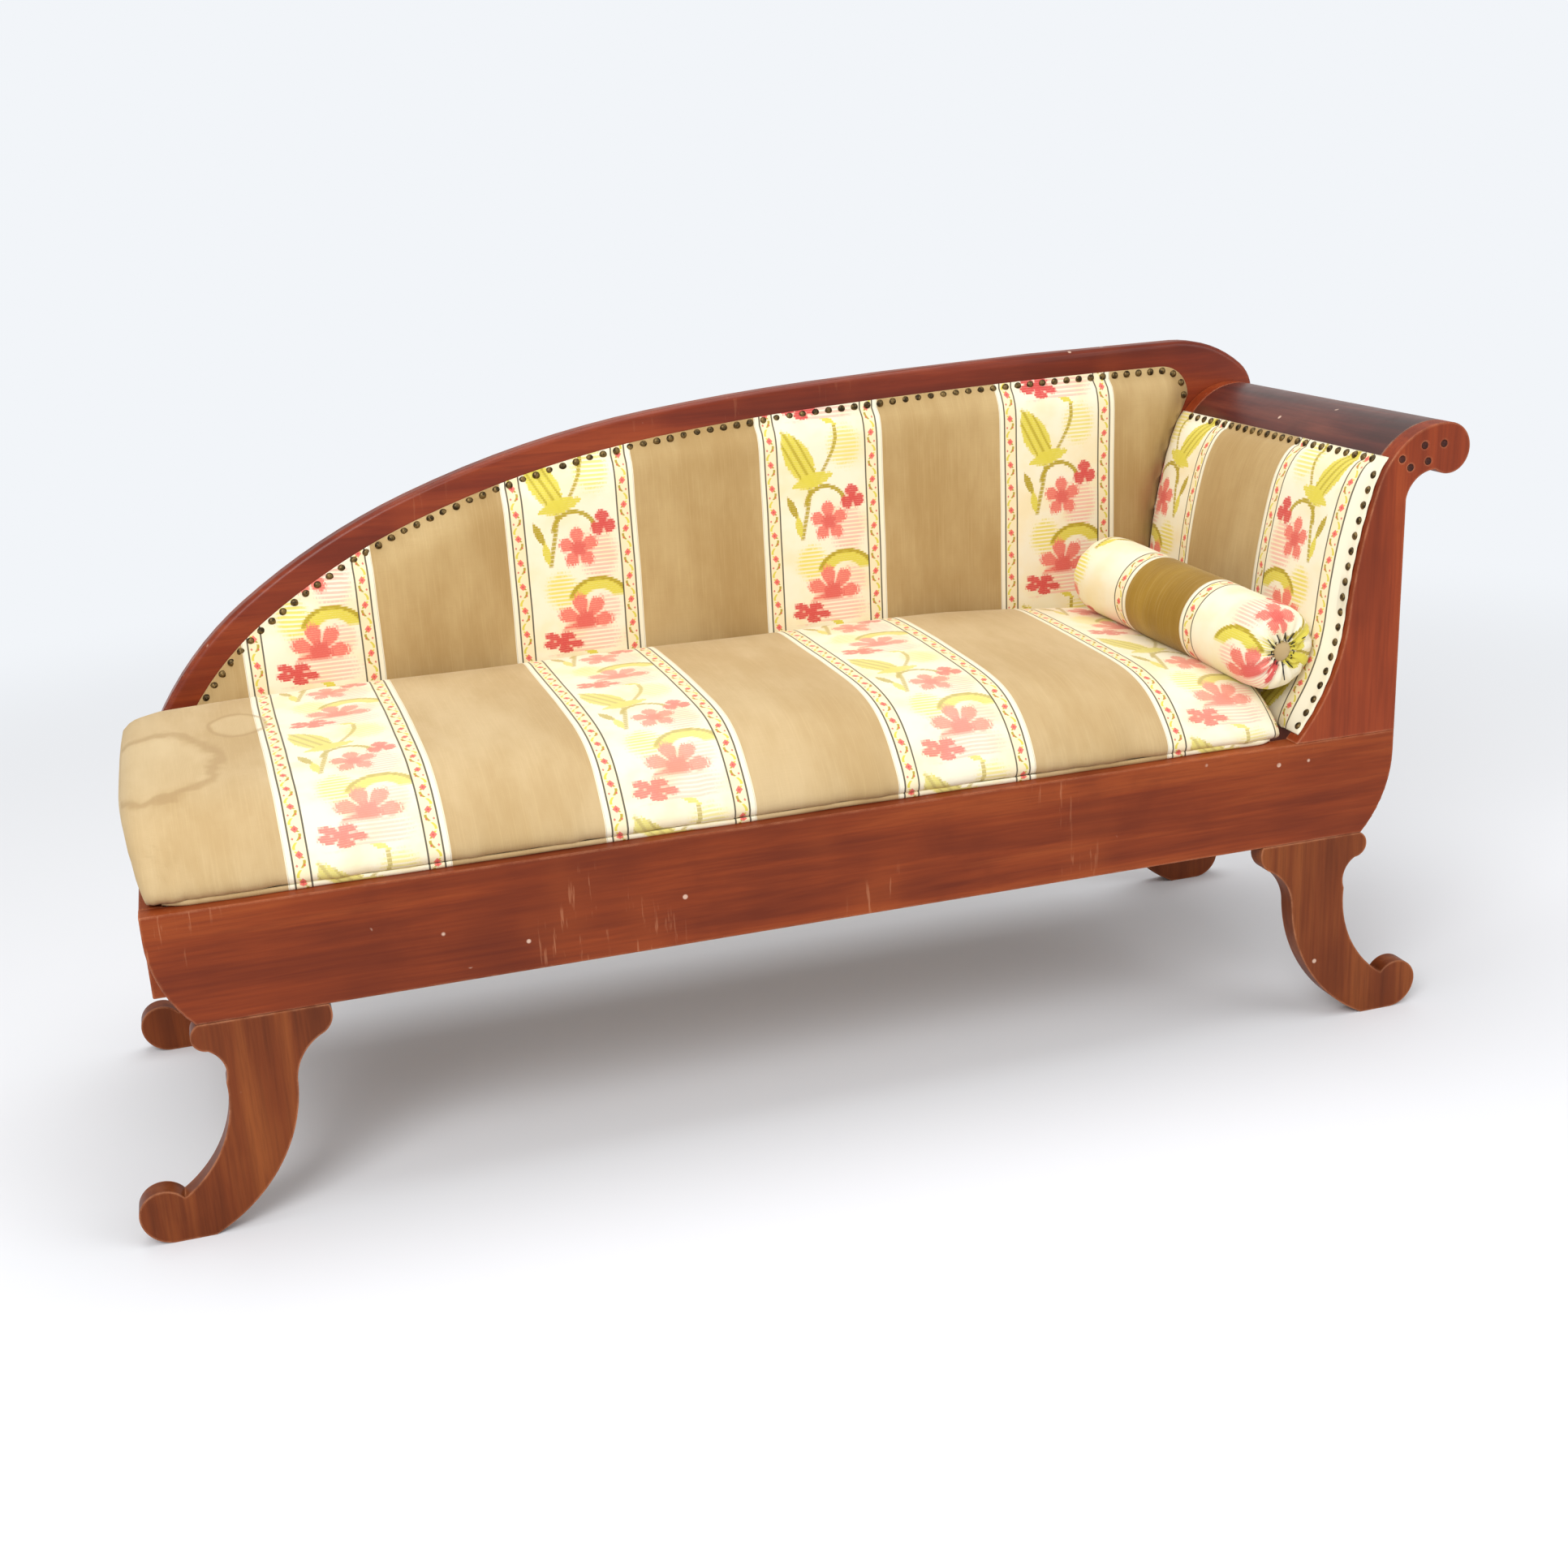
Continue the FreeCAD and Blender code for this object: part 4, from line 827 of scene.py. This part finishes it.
def makeCushion():
    c = cushion
    cells = c["cells"]
    over = smoothLine(c["section"], 6)
    reach = lengths(over)
    underside = c["section"][-1][0] - c["section"][0][0]
    whole = reach[-1] + underside

    # place on the section at an arc length from the lower front seam
    def onSection(arc):
        if arc >= reach[-1]:
            return Vector((c["section"][-1][0] - (arc - reach[-1]), c["low"], 0))
        n = next(i for i in range(1, len(reach)) if reach[i] >= arc)
        share = (arc - reach[n - 1]) / (reach[n] - reach[n - 1])
        return over[n - 1].lerp(over[n], share)

    bm = bmesh.new()
    around = cells["over"] + cells["under"]
    ringedTube(bm, around, cells["along"], cells["rings"])
    # each vertex's arc length round the section, its share out from the end's middle and along
    places = {}
    for v in bm.verts:
        angle = math.atan2(v.co.y, v.co.x) % (2 * math.pi)
        step = round(angle / (2 * math.pi) * around) % around
        if step <= cells["over"]:
            arc = reach[-1] * step / cells["over"]
        else:
            arc = reach[-1] + underside * (step - cells["over"]) / cells["under"]
        places[v] = (arc, math.hypot(v.co.x, v.co.y), (v.co.z + 1) / 2)
    outermost = 0.995
    for v, (arc, share, along) in places.items():
        x = c["left"] + (c["right"] - c["left"]) * crowded(along)
        spot = onSection(arc)
        rise = (spot.y - c["low"]) / c["tall"]
        z = spot.y - between(x, c["sag"]) * rise
        tuck = between(x, c["tuck"], smoothly)
        toFront = clamped((0.10 - spot.x) / 0.37)
        toRear = clamped((spot.x + 0.10) / 0.33)
        y = spot.x + tuck * toFront * (0.3 + rise * 0.7) - tuck * toRear * 0.5
        y, z = puckered(x, y, z, arc, rise)
        drawn = between(x, [(c["left"], 1.0), (-0.70, 0.0)], smoothly)
        x += c["lean"] * (1 - clamped(rise)) ** 1.4 * drawn
        if share < outermost:
            y = c["middle"][0] + (y - c["middle"][0]) * share
            z = max(c["low"], c["middle"][1] + (z - c["middle"][1]) * share)
            out = c["bulge"] * (1 - share ** 3)
            x += out * 0.4 if along > 0.5 else -out
        v.co = Vector((x, y, z))
    bmesh.ops.recalc_face_normals(bm, faces=bm.faces)
    layer = bm.loops.layers.uv.new("cloth")
    for face in bm.faces:
        near = [places[v] for v in face.verts]
        arcs = [arc for arc, _, _ in near]
        wraps = max(arcs) > whole * 0.8 and min(arcs) < whole * 0.1
        end = sum(share for _, share, _ in near) / len(near) < outermost
        for loop in face.loops:
            arc = places[loop.vert][0]
            if wraps and arc < whole * 0.1:
                arc += whole
            x, y, z = loop.vert.co
            if end:
                loop[layer].uv = (z + c["endStripe"], y)
            else:
                slant = c["slant"] * (1 - min(1.0, arc / 0.5))
                loop[layer].uv = (x + c["stripes"] - slant, arc - c["flower"])
    return finished("seatCushion", bm, stripedSeat, "seat_cushion",
                    ("cushion_cover", "cushion_filling"))


puckers = {
    "swell": 0.0035,
    "ripple": 0.0066,
    "rippleFoot": 0.045,  # arc length at which the ripples above the seam are deepest
    "corner": -0.815,
    "pleat": (0.0054, 0.0020),
}


# Soft dents and puckers: upright ones above the lower front seam, pleats at the left front corner
def puckered(x, y, z, arc, rise):
    if rise > 0.3:
        z += gentle(x * 3.1, y * 3.4, 1.7) * puckers["swell"] * min(1.0, rise * 1.3)
    if arc < 0.16:
        hang = math.exp(-((arc - puckers["rippleFoot"]) / 0.045) ** 2)
        ripple = gentle(x * 27, 0.3, arc * 4) + 0.6 * gentle(x * 61, 5.3, arc * 6)
        y += ripple * puckers["ripple"] * hang
    corner = math.exp(-((x - puckers["corner"]) / 0.035) ** 2)
    if arc < 0.22 and corner > 0.02:
        fold = math.sin((x * 0.86 - arc * 0.55) * 260) * math.exp(-((arc - 0.10) / 0.07) ** 2)
        y += fold * puckers["pleat"][0] * corner
        z += fold * puckers["pleat"][1] * corner
    return y, z


welt = {
    "half": (0.0034, 0.0021),
    "seam": (-0.2735, 0.4172),  # across and up
    "ends": (0.035, 0.012),  # how far it stops short of the cushion's ends
    "tips": (0.030, 0.020),  # length of each end's taper
    "thinning": 0.7,
    "tuckedIn": 0.0075,
    "cells": 190,
}


# A flat welt along the lower front seam, in the same cloth
def makeWelt():
    w = welt
    seamY, seamZ = w["seam"]
    bm = bmesh.new()
    rim = bmesh.ops.create_circle(bm, segments=10, radius=1)["verts"]
    bmesh.ops.scale(bm, vec=(*w["half"], 1), verts=rim)
    bmesh.ops.rotate(bm, cent=(0, 0, 0), matrix=Matrix.Rotation(math.radians(90), 3, "Y"), verts=rim)
    start, end = cushion["left"] + w["ends"][0], cushion["right"] - w["ends"][1]
    bmesh.ops.translate(bm, vec=(start, seamY, seamZ), verts=rim)
    front = list({e for v in rim for e in v.link_edges})
    for _ in range(w["cells"]):
        made = bmesh.ops.extrude_edge_only(bm, edges=front)["geom"]
        moved = [g for g in made if isinstance(g, bmesh.types.BMVert)]
        bmesh.ops.translate(bm, vec=((end - start) / w["cells"], 0, 0), verts=moved)
        edges = [g for g in made if isinstance(g, bmesh.types.BMEdge)]
        front = [e for e in edges if all(v in moved for v in e.verts)]
    bmesh.ops.holes_fill(bm, edges=[e for e in bm.edges if len(e.link_faces) == 1])
    bmesh.ops.recalc_face_normals(bm, faces=bm.faces)
    mapped(bm, lambda co: (co.x + cushion["stripes"] - cushion["slant"], (co.z - 0.415) * 2 - 0.13))
    for v in bm.verts:
        near, far = w["tips"]
        tip = max(0.0, (start + near - v.co.x) / near, (v.co.x - end + far) / far)
        thick = 1 - w["thinning"] * tip
        v.co.y = seamY + (v.co.y - seamY) * thick + w["tuckedIn"] * tip ** 2
        v.co.z = seamZ + (v.co.z - seamZ) * thick
        v.co.y += 0.0016 * gentle(v.co.x * 9, 0.2, 4.4)
        v.co.z += 0.0007 * gentle(v.co.x * 14, 8.2, 4.4)
    return finished("cushionWelt", bm, stripedSeat, "seat_cushion")


cushionPiece = makeCushion()
makeWelt()
print("cushion made")


bolster = {
    "near": (0.638, -0.2645, 0.535),  # middle of its near end
    "way": (-0.055, 0.4352, 0.034),
    "length": 0.440,
    "radius": 0.058,
    "disc": 0.0142,
    "discThick": 0.0055,
    "hollow": 0.009,
    # one end, from the disc to the side: distance from the axis and depth in from the end
    "end": [(0.0117, 0.0100), (0.0165, 0.0060), (0.0225, 0.0022), (0.031, 0.0008), (0.041, 0.0030),
            (0.0495, 0.0085), (0.0550, 0.0170), (0.0572, 0.0290), (0.058, 0.0420)],
    "cells": {"side": 44, "around": 160},
    "stripes": 0.155,
    "flower": 0.02,
    "gathers": 15,
    "gatherDeep": 0.0024,
    "dents": 0.0016,
}
rollAxis = Vector(bolster["way"]).normalized()
rollTurn = rollAxis.to_track_quat("Z", "Y").to_matrix().to_4x4()
rollFrame = Matrix.Translation(Vector(bolster["near"])) @ rollTurn


def makeBolster():
    b = bolster
    bm = bmesh.new()
    radius = b["radius"]
    end = smoothLine(b["end"], 4)
    inEnd = b["end"][-1][1]
    steps = b["cells"]["side"]
    side = [(radius, inEnd + (b["length"] - inEnd * 2) * n / steps) for n in range(1, steps)]
    line = [(p.x, p.y) for p in end] + side + [(p.x, b["length"] - p.y) for p in reversed(end)]
    verts = [bm.verts.new((x, 0, z)) for x, z in line]
    edges = [bm.edges.new(pair) for pair in zip(verts, verts[1:])]
    bmesh.ops.spin(bm, geom=verts + edges, cent=(0, 0, 0), axis=(0, 0, 1), angle=2 * math.pi,
                   steps=b["cells"]["around"], use_merge=True)
    bmesh.ops.remove_doubles(bm, verts=bm.verts, dist=1e-6)
    arcs = lengths([Vector((x, z, 0)) for x, z in line])
    total = arcs[-1]
    # each vertex's turn round the axis and its arc length from the near end's middle
    places = {}
    for v in bm.verts:
        out = math.hypot(v.co.x, v.co.y)
        near = min(range(len(line)), key=lambda n: abs(line[n][0] - out) + abs(line[n][1] - v.co.z))
        places[v] = (math.atan2(v.co.y, v.co.x), arcs[near])
    layer = bm.loops.layers.uv.new("cloth")
    for face in bm.faces:
        turns = [places[v][0] for v in face.verts]
        wraps = max(turns) - min(turns) > math.pi
        for loop in face.loops:
            turn, arc = places[loop.vert]
            if wraps and turn < 0:
                turn += 2 * math.pi
            fromRim = arc - (total - b["length"]) / 2
            loop[layer].uv = (fromRim + b["stripes"], turn * radius * 0.99 + b["flower"])
    bm.normal_update()
    for v in bm.verts:
        turn, arc = places[v]
        gather = math.exp(-((min(arc, total - arc) - 0.012) / 0.026) ** 2)
        waver = 1.3 * gentle(math.cos(turn) * 1.3, math.sin(turn) * 1.3, 0 if arc < total / 2 else 9)
        pleat = math.cos(b["gathers"] * turn + waver * 2.2)
        deep = b["gatherDeep"] * gather * math.copysign(abs(pleat) ** 0.7, pleat)
        dent = gentle(v.co.x * 14, v.co.y * 14, v.co.z * 9) * b["dents"]
        ring = 0.0009 * math.sin(arc * 190 + turn * 2) * gentle(v.co.z * 11, turn, 2)
        v.co += v.normal * (deep + dent * 0.8 + ring - 0.0008)
        if v.co.z < 0.0:
            v.co.z *= 0.4
    bm.transform(rollFrame)
    bmesh.ops.recalc_face_normals(bm, faces=bm.faces)
    return finished("bolsterRoll", bm, stripedRoll, "bolster",
                    ("bolster_cover", "bolster_filling"))


def makeDiscs():
    b = bolster
    bm = bmesh.new()
    for depth, out in ((b["hollow"], -1), (b["length"] - b["hollow"], 1)):
        ball = bmesh.ops.create_uvsphere(bm, u_segments=32, v_segments=16, radius=1)["verts"]
        bmesh.ops.scale(bm, vec=(b["disc"], b["disc"], b["discThick"]), verts=ball)
        bmesh.ops.translate(bm, vec=(0, 0, depth + out * 0.0022), verts=ball)
    bm.transform(rollFrame)
    return finished("bolsterDiscs", bm, buttonCloth, "bolster", ("bolster_buttons",))


stitches = {
    "count": 12,
    "start": 0.0145,  # from the axis to a stitch's inner end
    "reach": 0.013,
    "longer": 0.011,  # added to one stitch in four
    "thick": (0.0010, 0.0007),
    "lean": 14,
    "lift": 0.0012,
    "ring": 0.0188,
    "ringWide": 0.0022,
    "ringDeep": 0.0024,
}


# Black thread stitches that draw each end together, and a turn of thread round the disc
def makeStitches():
    t = stitches
    bm = bmesh.new()
    for farEnd, seed in ((False, 1), (True, 5)):
        for n in range(t["count"]):
            turn = 2 * math.pi * (n + 0.35 * gentle(n * 1.7, seed * 3.1, 0.5)) / t["count"]
            reach = t["reach"] + (t["longer"] if n % 4 == 1 else 0.0) + 0.006 * gentle(n * 2.3, seed, 4.1)
            tilt = 0.5 * gentle(n * 0.9, seed, 7.7)
            made = bmesh.ops.create_cone(bm, cap_ends=True, segments=8, radius1=t["thick"][0],
                                         radius2=t["thick"][1], depth=reach)["verts"]
            push = Matrix.Rotation(turn, 4, "Z") @ Matrix.Translation((t["start"] + reach / 2, 0, 0))
            lean = Matrix.Rotation(math.radians(90 + t["lean"]), 4, "Y") @ Matrix.Rotation(tilt, 4, "X")
            bmesh.ops.transform(bm, matrix=push @ lean, verts=made)
            bmesh.ops.translate(bm, vec=(0, 0, t["lift"]), verts=made)
            if farEnd:
                for v in made:
                    v.co.z = bolster["length"] - v.co.z
        ring = bmesh.ops.create_circle(bm, segments=48, radius=t["ring"])["verts"]
        tube = bmesh.ops.extrude_edge_only(bm, edges=list({e for v in ring for e in v.link_edges}))["geom"]
        outer = [g for g in tube if isinstance(g, bmesh.types.BMVert)]
        bmesh.ops.translate(bm, vec=(0, 0, t["ringWide"]), verts=outer)
        depth = bolster["length"] - t["ringDeep"] - t["ringWide"] if farEnd else t["ringDeep"]
        bmesh.ops.translate(bm, vec=(0, 0, depth), verts=ring + outer)
    bmesh.ops.recalc_face_normals(bm, faces=bm.faces)
    bm.transform(rollFrame)
    return finished("bolsterStitches", bm, blackThread, "bolster")


bolsterPiece = makeBolster()
makeDiscs()
makeStitches()
print("bolster made")


backPad = {
    "cell": 0.011,
    "rise": 0.021,
    "round": 0.046,  # distance from the edge at which the padding is full
    "tuck": 0.012,
    "skin": 0.0015,
    "stripes": 0.302,
    "flower": 0.575,
}


# The outer edge of the back's cloth, in order, read from the thin rim of its CAD solid
def rimOf(node, y):
    bm = mergedCopy(node)
    bm.normal_update()
    links = {}
    for edge in bm.edges:
        flat = [abs(v.co.y - y) < 2e-4 for v in edge.verts]
        sides = [f for f in edge.link_faces if abs(f.normal.y) < 0.3]
        if all(flat) and len(sides) == 1 and len(edge.link_faces) == 2:
            a, b = (tuple(round(c, 6) for c in v.co) for v in edge.verts)
            links.setdefault(a, []).append(b)
            links.setdefault(b, []).append(a)
    bm.free()
    loops = []
    while links:
        start = next(iter(links))
        loop = [start]
        here = start
        while True:
            onward = [p for p in links.get(here, []) if p in links and p not in loop]
            if not onward:
                break
            here = onward[0]
            loop.append(here)
        for p in loop:
            links.pop(p, None)
        loops.append(loop)
    return max(loops, key=len)


# The distance from a place to a closed line
def distanceTo(spot, line):
    best = math.inf
    for a, b in zip(line, line[1:] + line[:1]):
        run = b - a
        share = clamped((spot - a).dot(run) / max(run.length_squared, 1e-12))
        best = min(best, (spot - a - run * share).length)
    return best


# Cuts a mesh into rows across one axis
def sliced(bm, axis, cuts):
    side = Vector((0, 0, 0))
    side[axis] = 1
    for place in cuts:
        everything = list(bm.verts) + list(bm.edges) + list(bm.faces)
        bmesh.ops.bisect_plane(bm, geom=everything, plane_co=side * place, plane_no=side)


def makeBackPad():
    p = backPad
    low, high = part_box("back_cover")
    foot = high.y
    rim = rimOf("back_cover", foot)
    edge = [Vector((x, z)) for x, _, z in rim]
    bm = bmesh.new()
    face = bm.faces.new([bm.verts.new((x, foot - p["skin"], z)) for x, _, z in rim])
    face.normal_update()
    if face.normal.y > 0:
        bmesh.ops.reverse_faces(bm, faces=[face])
    for axis in (0, 2):
        count = int((high[axis] - low[axis]) / p["cell"])
        sliced(bm, axis, [low[axis] + (high[axis] - low[axis]) * n / count for n in range(1, count)])
    outer = [e for e in bm.edges if len(e.link_faces) == 1]
    wall = bmesh.ops.extrude_edge_only(bm, edges=outer)["geom"]
    sole = foot - 0.0002
    for v in [g for g in wall if isinstance(g, bmesh.types.BMVert)]:
        v.co.y = sole
    wallEdges = [g for g in wall if isinstance(g, bmesh.types.BMEdge)]
    soleEdges = [e for e in wallEdges if all(abs(v.co.y - sole) < 1e-6 for v in e.verts)]
    bmesh.ops.contextual_create(bm, geom=soleEdges)
    for v in bm.verts:
        if v.co.y > foot - 0.001:
            continue
        inside = distanceTo(Vector((v.co.x, v.co.z)), edge)
        share = clamped((inside - p["tuck"]) / p["round"])
        swell = (1 - (1 - share) ** 2.4) ** 0.62 if share > 0 else 0.0
        soft = gentle(v.co.x * 4.2, 3.3, v.co.z * 5.1) * 0.0022 * share
        v.co.y -= (p["rise"] - p["skin"]) * swell - soft
    mapped(bm, lambda co: (co.x + p["stripes"], co.z - p["flower"]))
    bmesh.ops.recalc_face_normals(bm, faces=bm.faces)
    return finished("backPad", bm, stripedPad, "root", ("back_cover", "back_stuffing"))


backPiece = makeBackPad()
print("back made")


armPad = {
    "front": -0.2835,
    "rear": 0.2635,
    "boards": (-0.2645, 0.2585),  # the padding's front and rear, between the boards
    "cells": (96, 84),
    "full": 0.0140,
    "round": (0.05, 0.06),  # how soon the padding is full from its sides and foot, and from its top
    "topHem": 0.012,
    "stripes": 0.2605,
    "flower": 0.15,
    "edge": 0.002,  # the cloth in front of the first stripe is as pale as the stripe's own edge
    "thick": 0.0015,
}


# The edge that the arm's cloth follows, read from the front of its CAD solid
def armProfile():
    bm = mergedCopy("arm_cover")
    front = [v.co for v in bm.verts if abs(v.co.y - armPad["front"]) < 3e-4]
    points = sorted({(round(c.z, 5), round(c.x, 5)) for c in front})
    bm.free()
    outer = []
    for z, x in points:
        if outer and z - outer[-1][0] < 0.003:
            if x < outer[-1][1]:
                outer[-1] = (z, x)
            continue
        outer.append((z, x))
    return [Vector((x, z)) for z, x in outer]


def makeArmPad():
    a = armPad
    line = armProfile()
    total = lengths([Vector((*p, 0)) for p in line])
    reach = total[-1]

    # a place on the profile and the way out from it
    def at(share):
        arc = share * reach
        n = next((i for i in range(1, len(total)) if total[i] >= arc - 1e-9), len(total) - 1)
        spot = line[n - 1].lerp(line[n], (arc - total[n - 1]) / (total[n] - total[n - 1]))
        run = (line[min(len(line) - 1, n + 1)] - line[max(0, n - 2)]).normalized()
        return spot, Vector((-run.y, run.x))

    bm = bmesh.new()
    bmesh.ops.create_grid(bm, x_segments=a["cells"][0], y_segments=a["cells"][1], size=1)
    # each vertex's share up the profile, its share across and its depth
    places = {}
    for v in bm.verts:
        across = (v.co.y + 1) / 2
        places[v] = ((v.co.x + 1) / 2, across, a["front"] + (a["rear"] - a["front"]) * across)
    layer = bm.loops.layers.uv.new("cloth")
    for face in bm.faces:
        for loop in face.loops:
            up, _, y = places[loop.vert]
            loop[layer].uv = (max(a["edge"], y + a["stripes"]), up * reach - a["flower"])
    sideRound, topRound = a["round"]
    for v, (up, across, y) in places.items():
        spot, normal = at(up)
        inward = min(y - a["boards"][0], a["boards"][1] - y)
        side = clamped(inward / sideRound)
        ends = min(1.0, up * reach / sideRound, max(0.0, (1 - up) * reach - a["topHem"]) / topRound)
        swell = (1 - (1 - side) ** 2) ** 0.6 * (1 - (1 - max(0.0, ends)) ** 2) ** 0.7
        out = a["full"] * swell * (1 + 0.12 * gentle(up * 3, across * 3, 8.2))
        if inward < 0:
            out += 0.0004 * math.sin(y * 300 + up * 90)
        spot = spot + normal * out
        v.co = Vector((spot.x, y, spot.y))
    bmesh.ops.solidify(bm, geom=list(bm.faces), thickness=a["thick"])
    bmesh.ops.recalc_face_normals(bm, faces=bm.faces)
    return finished("armPad", bm, stripedPad, "root", ("arm_cover", "arm_stuffing"))


armPiece = makeArmPad()
print("arm made")


# The stuffed seat under the cushion
deck = {
    "round": 0.005,
    "cells": (60, 22),
    "dents": (0.0006, 0.0012),
    "stripes": 0.29,
    "flower": -0.61,
}


def makeDeck():
    d = deck
    low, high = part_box("deck_cover")
    bm = bmesh.new()
    bmesh.ops.create_cube(bm, size=1)
    bmesh.ops.scale(bm, vec=high - low, verts=bm.verts)
    bmesh.ops.translate(bm, vec=(low + high) / 2, verts=bm.verts)
    top = high.z - 1e-4
    upper = [e for e in bm.edges if all(v.co.z > top for v in e.verts)]
    bmesh.ops.bevel(bm, geom=upper, offset=d["round"], segments=4, profile=0.5, affect="EDGES", material=-1)
    for axis, cells in enumerate(d["cells"]):
        sliced(bm, axis, [low.lerp(high, n / cells)[axis] for n in range(1, cells)])
    for v in bm.verts:
        if v.co.z > top:
            v.co.z -= d["dents"][0] + d["dents"][1] * abs(gentle(v.co.x * 6, v.co.y * 6, 3.1))
    mapped(bm, lambda co: (co.x + d["stripes"], co.y - co.z - d["flower"]))
    return finished("deckPad", bm, stripedSeat, "drop_in_seat",
                    ("deck_cover", "deck_stuffing"))


deckPiece = makeDeck()
print("seat deck made")

studio = {
    "lit": srgb(232, 234, 238),
    "white": srgb(242, 245, 249),  # floor far away and background
    "fade": (1.5, 3.4),  # distances over which the floor turns into the background
    "air": (1.0, 0.99, 0.97, 1),
    "airStrength": 0.55,
}


def makeFloorFinish():
    f = newFinish("paleFloor")
    rays = f.add("ShaderNodeLightPath").socket.node.outputs
    seen = Wire(f, rays["Is Camera Ray"]) | Wire(f, rays["Is Glossy Ray"])
    lit = f.add("ShaderNodeBsdfDiffuse", None, studio["lit"])
    white = f.add("ShaderNodeEmission", None, studio["white"], 1.0)
    faded = f.step(f.length(f.spot()), *studio["fade"]) * seen
    f.output(f.add("ShaderNodeMixShader", None, faded, lit, white))
    return f.owner


def makeWorld():
    world = bpy.data.worlds.new("studio")
    f = Finish(world)
    rays = f.add("ShaderNodeLightPath").socket.node.outputs
    seen = Wire(f, rays["Is Camera Ray"]) | Wire(f, rays["Is Transmission Ray"])
    air = f.add("ShaderNodeBackground", None, studio["air"], studio["airStrength"])
    white = f.add("ShaderNodeBackground", None, studio["white"], 1.0)
    f.output(f.add("ShaderNodeMixShader", None, seen, air, white), "ShaderNodeOutputWorld")
    bpy.context.scene.world = world


def makeFloor(size):
    bm = bmesh.new()
    bmesh.ops.create_grid(bm, x_segments=1, y_segments=1, size=size)
    mesh = bpy.data.meshes.new("floor")
    bm.to_mesh(mesh)
    bm.free()
    mesh.materials.append(makeFloorFinish())
    floor = bpy.data.objects.new("floor", mesh)
    bpy.context.scene.collection.objects.link(floor)


makeFloor(40)
makeWorld()

lamps = {
    "keyLamp": {"place": (-2.2, -3.2, 3.2), "power": 120, "size": 2.2},
    "fillLamp": {"place": (3.0, -2.6, 2.4), "power": 45, "size": 2.6},
    "topLamp": {"place": (0.0, 0.4, 3.6), "power": 60, "size": 3.0},
}
lampsLookAt = Vector((0, 0, 0.45))
for name, lamp in lamps.items():
    light = bpy.data.lights.new(name, "AREA")
    light.energy = lamp["power"]
    light.size = lamp["size"]
    holder = bpy.data.objects.new(name, light)
    bpy.context.scene.collection.objects.link(holder)
    holder.location = lamp["place"]
    toward = lampsLookAt - Vector(lamp["place"])
    holder.rotation_euler = toward.to_track_quat("-Z", "Y").to_euler()

camera = {
    "place": (-0.7070, -2.4456, 1.2079),
    "lens": 44.27,
    "sensor": 36,
    "right": (0.9532, -0.2984, -0.0487),
    "up": (0.1383, 0.2872, 0.9478),
}
lens = bpy.data.cameras.new("camera")
lens.lens = camera["lens"]
lens.sensor_width = camera["sensor"]
lens.sensor_fit = "HORIZONTAL"
view = bpy.data.objects.new("camera", lens)
bpy.context.scene.collection.objects.link(view)
rightward = Vector(camera["right"]).normalized()
upward = (Vector(camera["up"]) - rightward * Vector(camera["up"]).dot(rightward)).normalized()
turn = Matrix((rightward, upward, rightward.cross(upward))).transposed()
view.matrix_world = Matrix.Translation(camera["place"]) @ turn.to_4x4()
bpy.context.scene.camera = view
bpy.context.scene.view_settings.view_transform = "Standard"

print("studio ready")
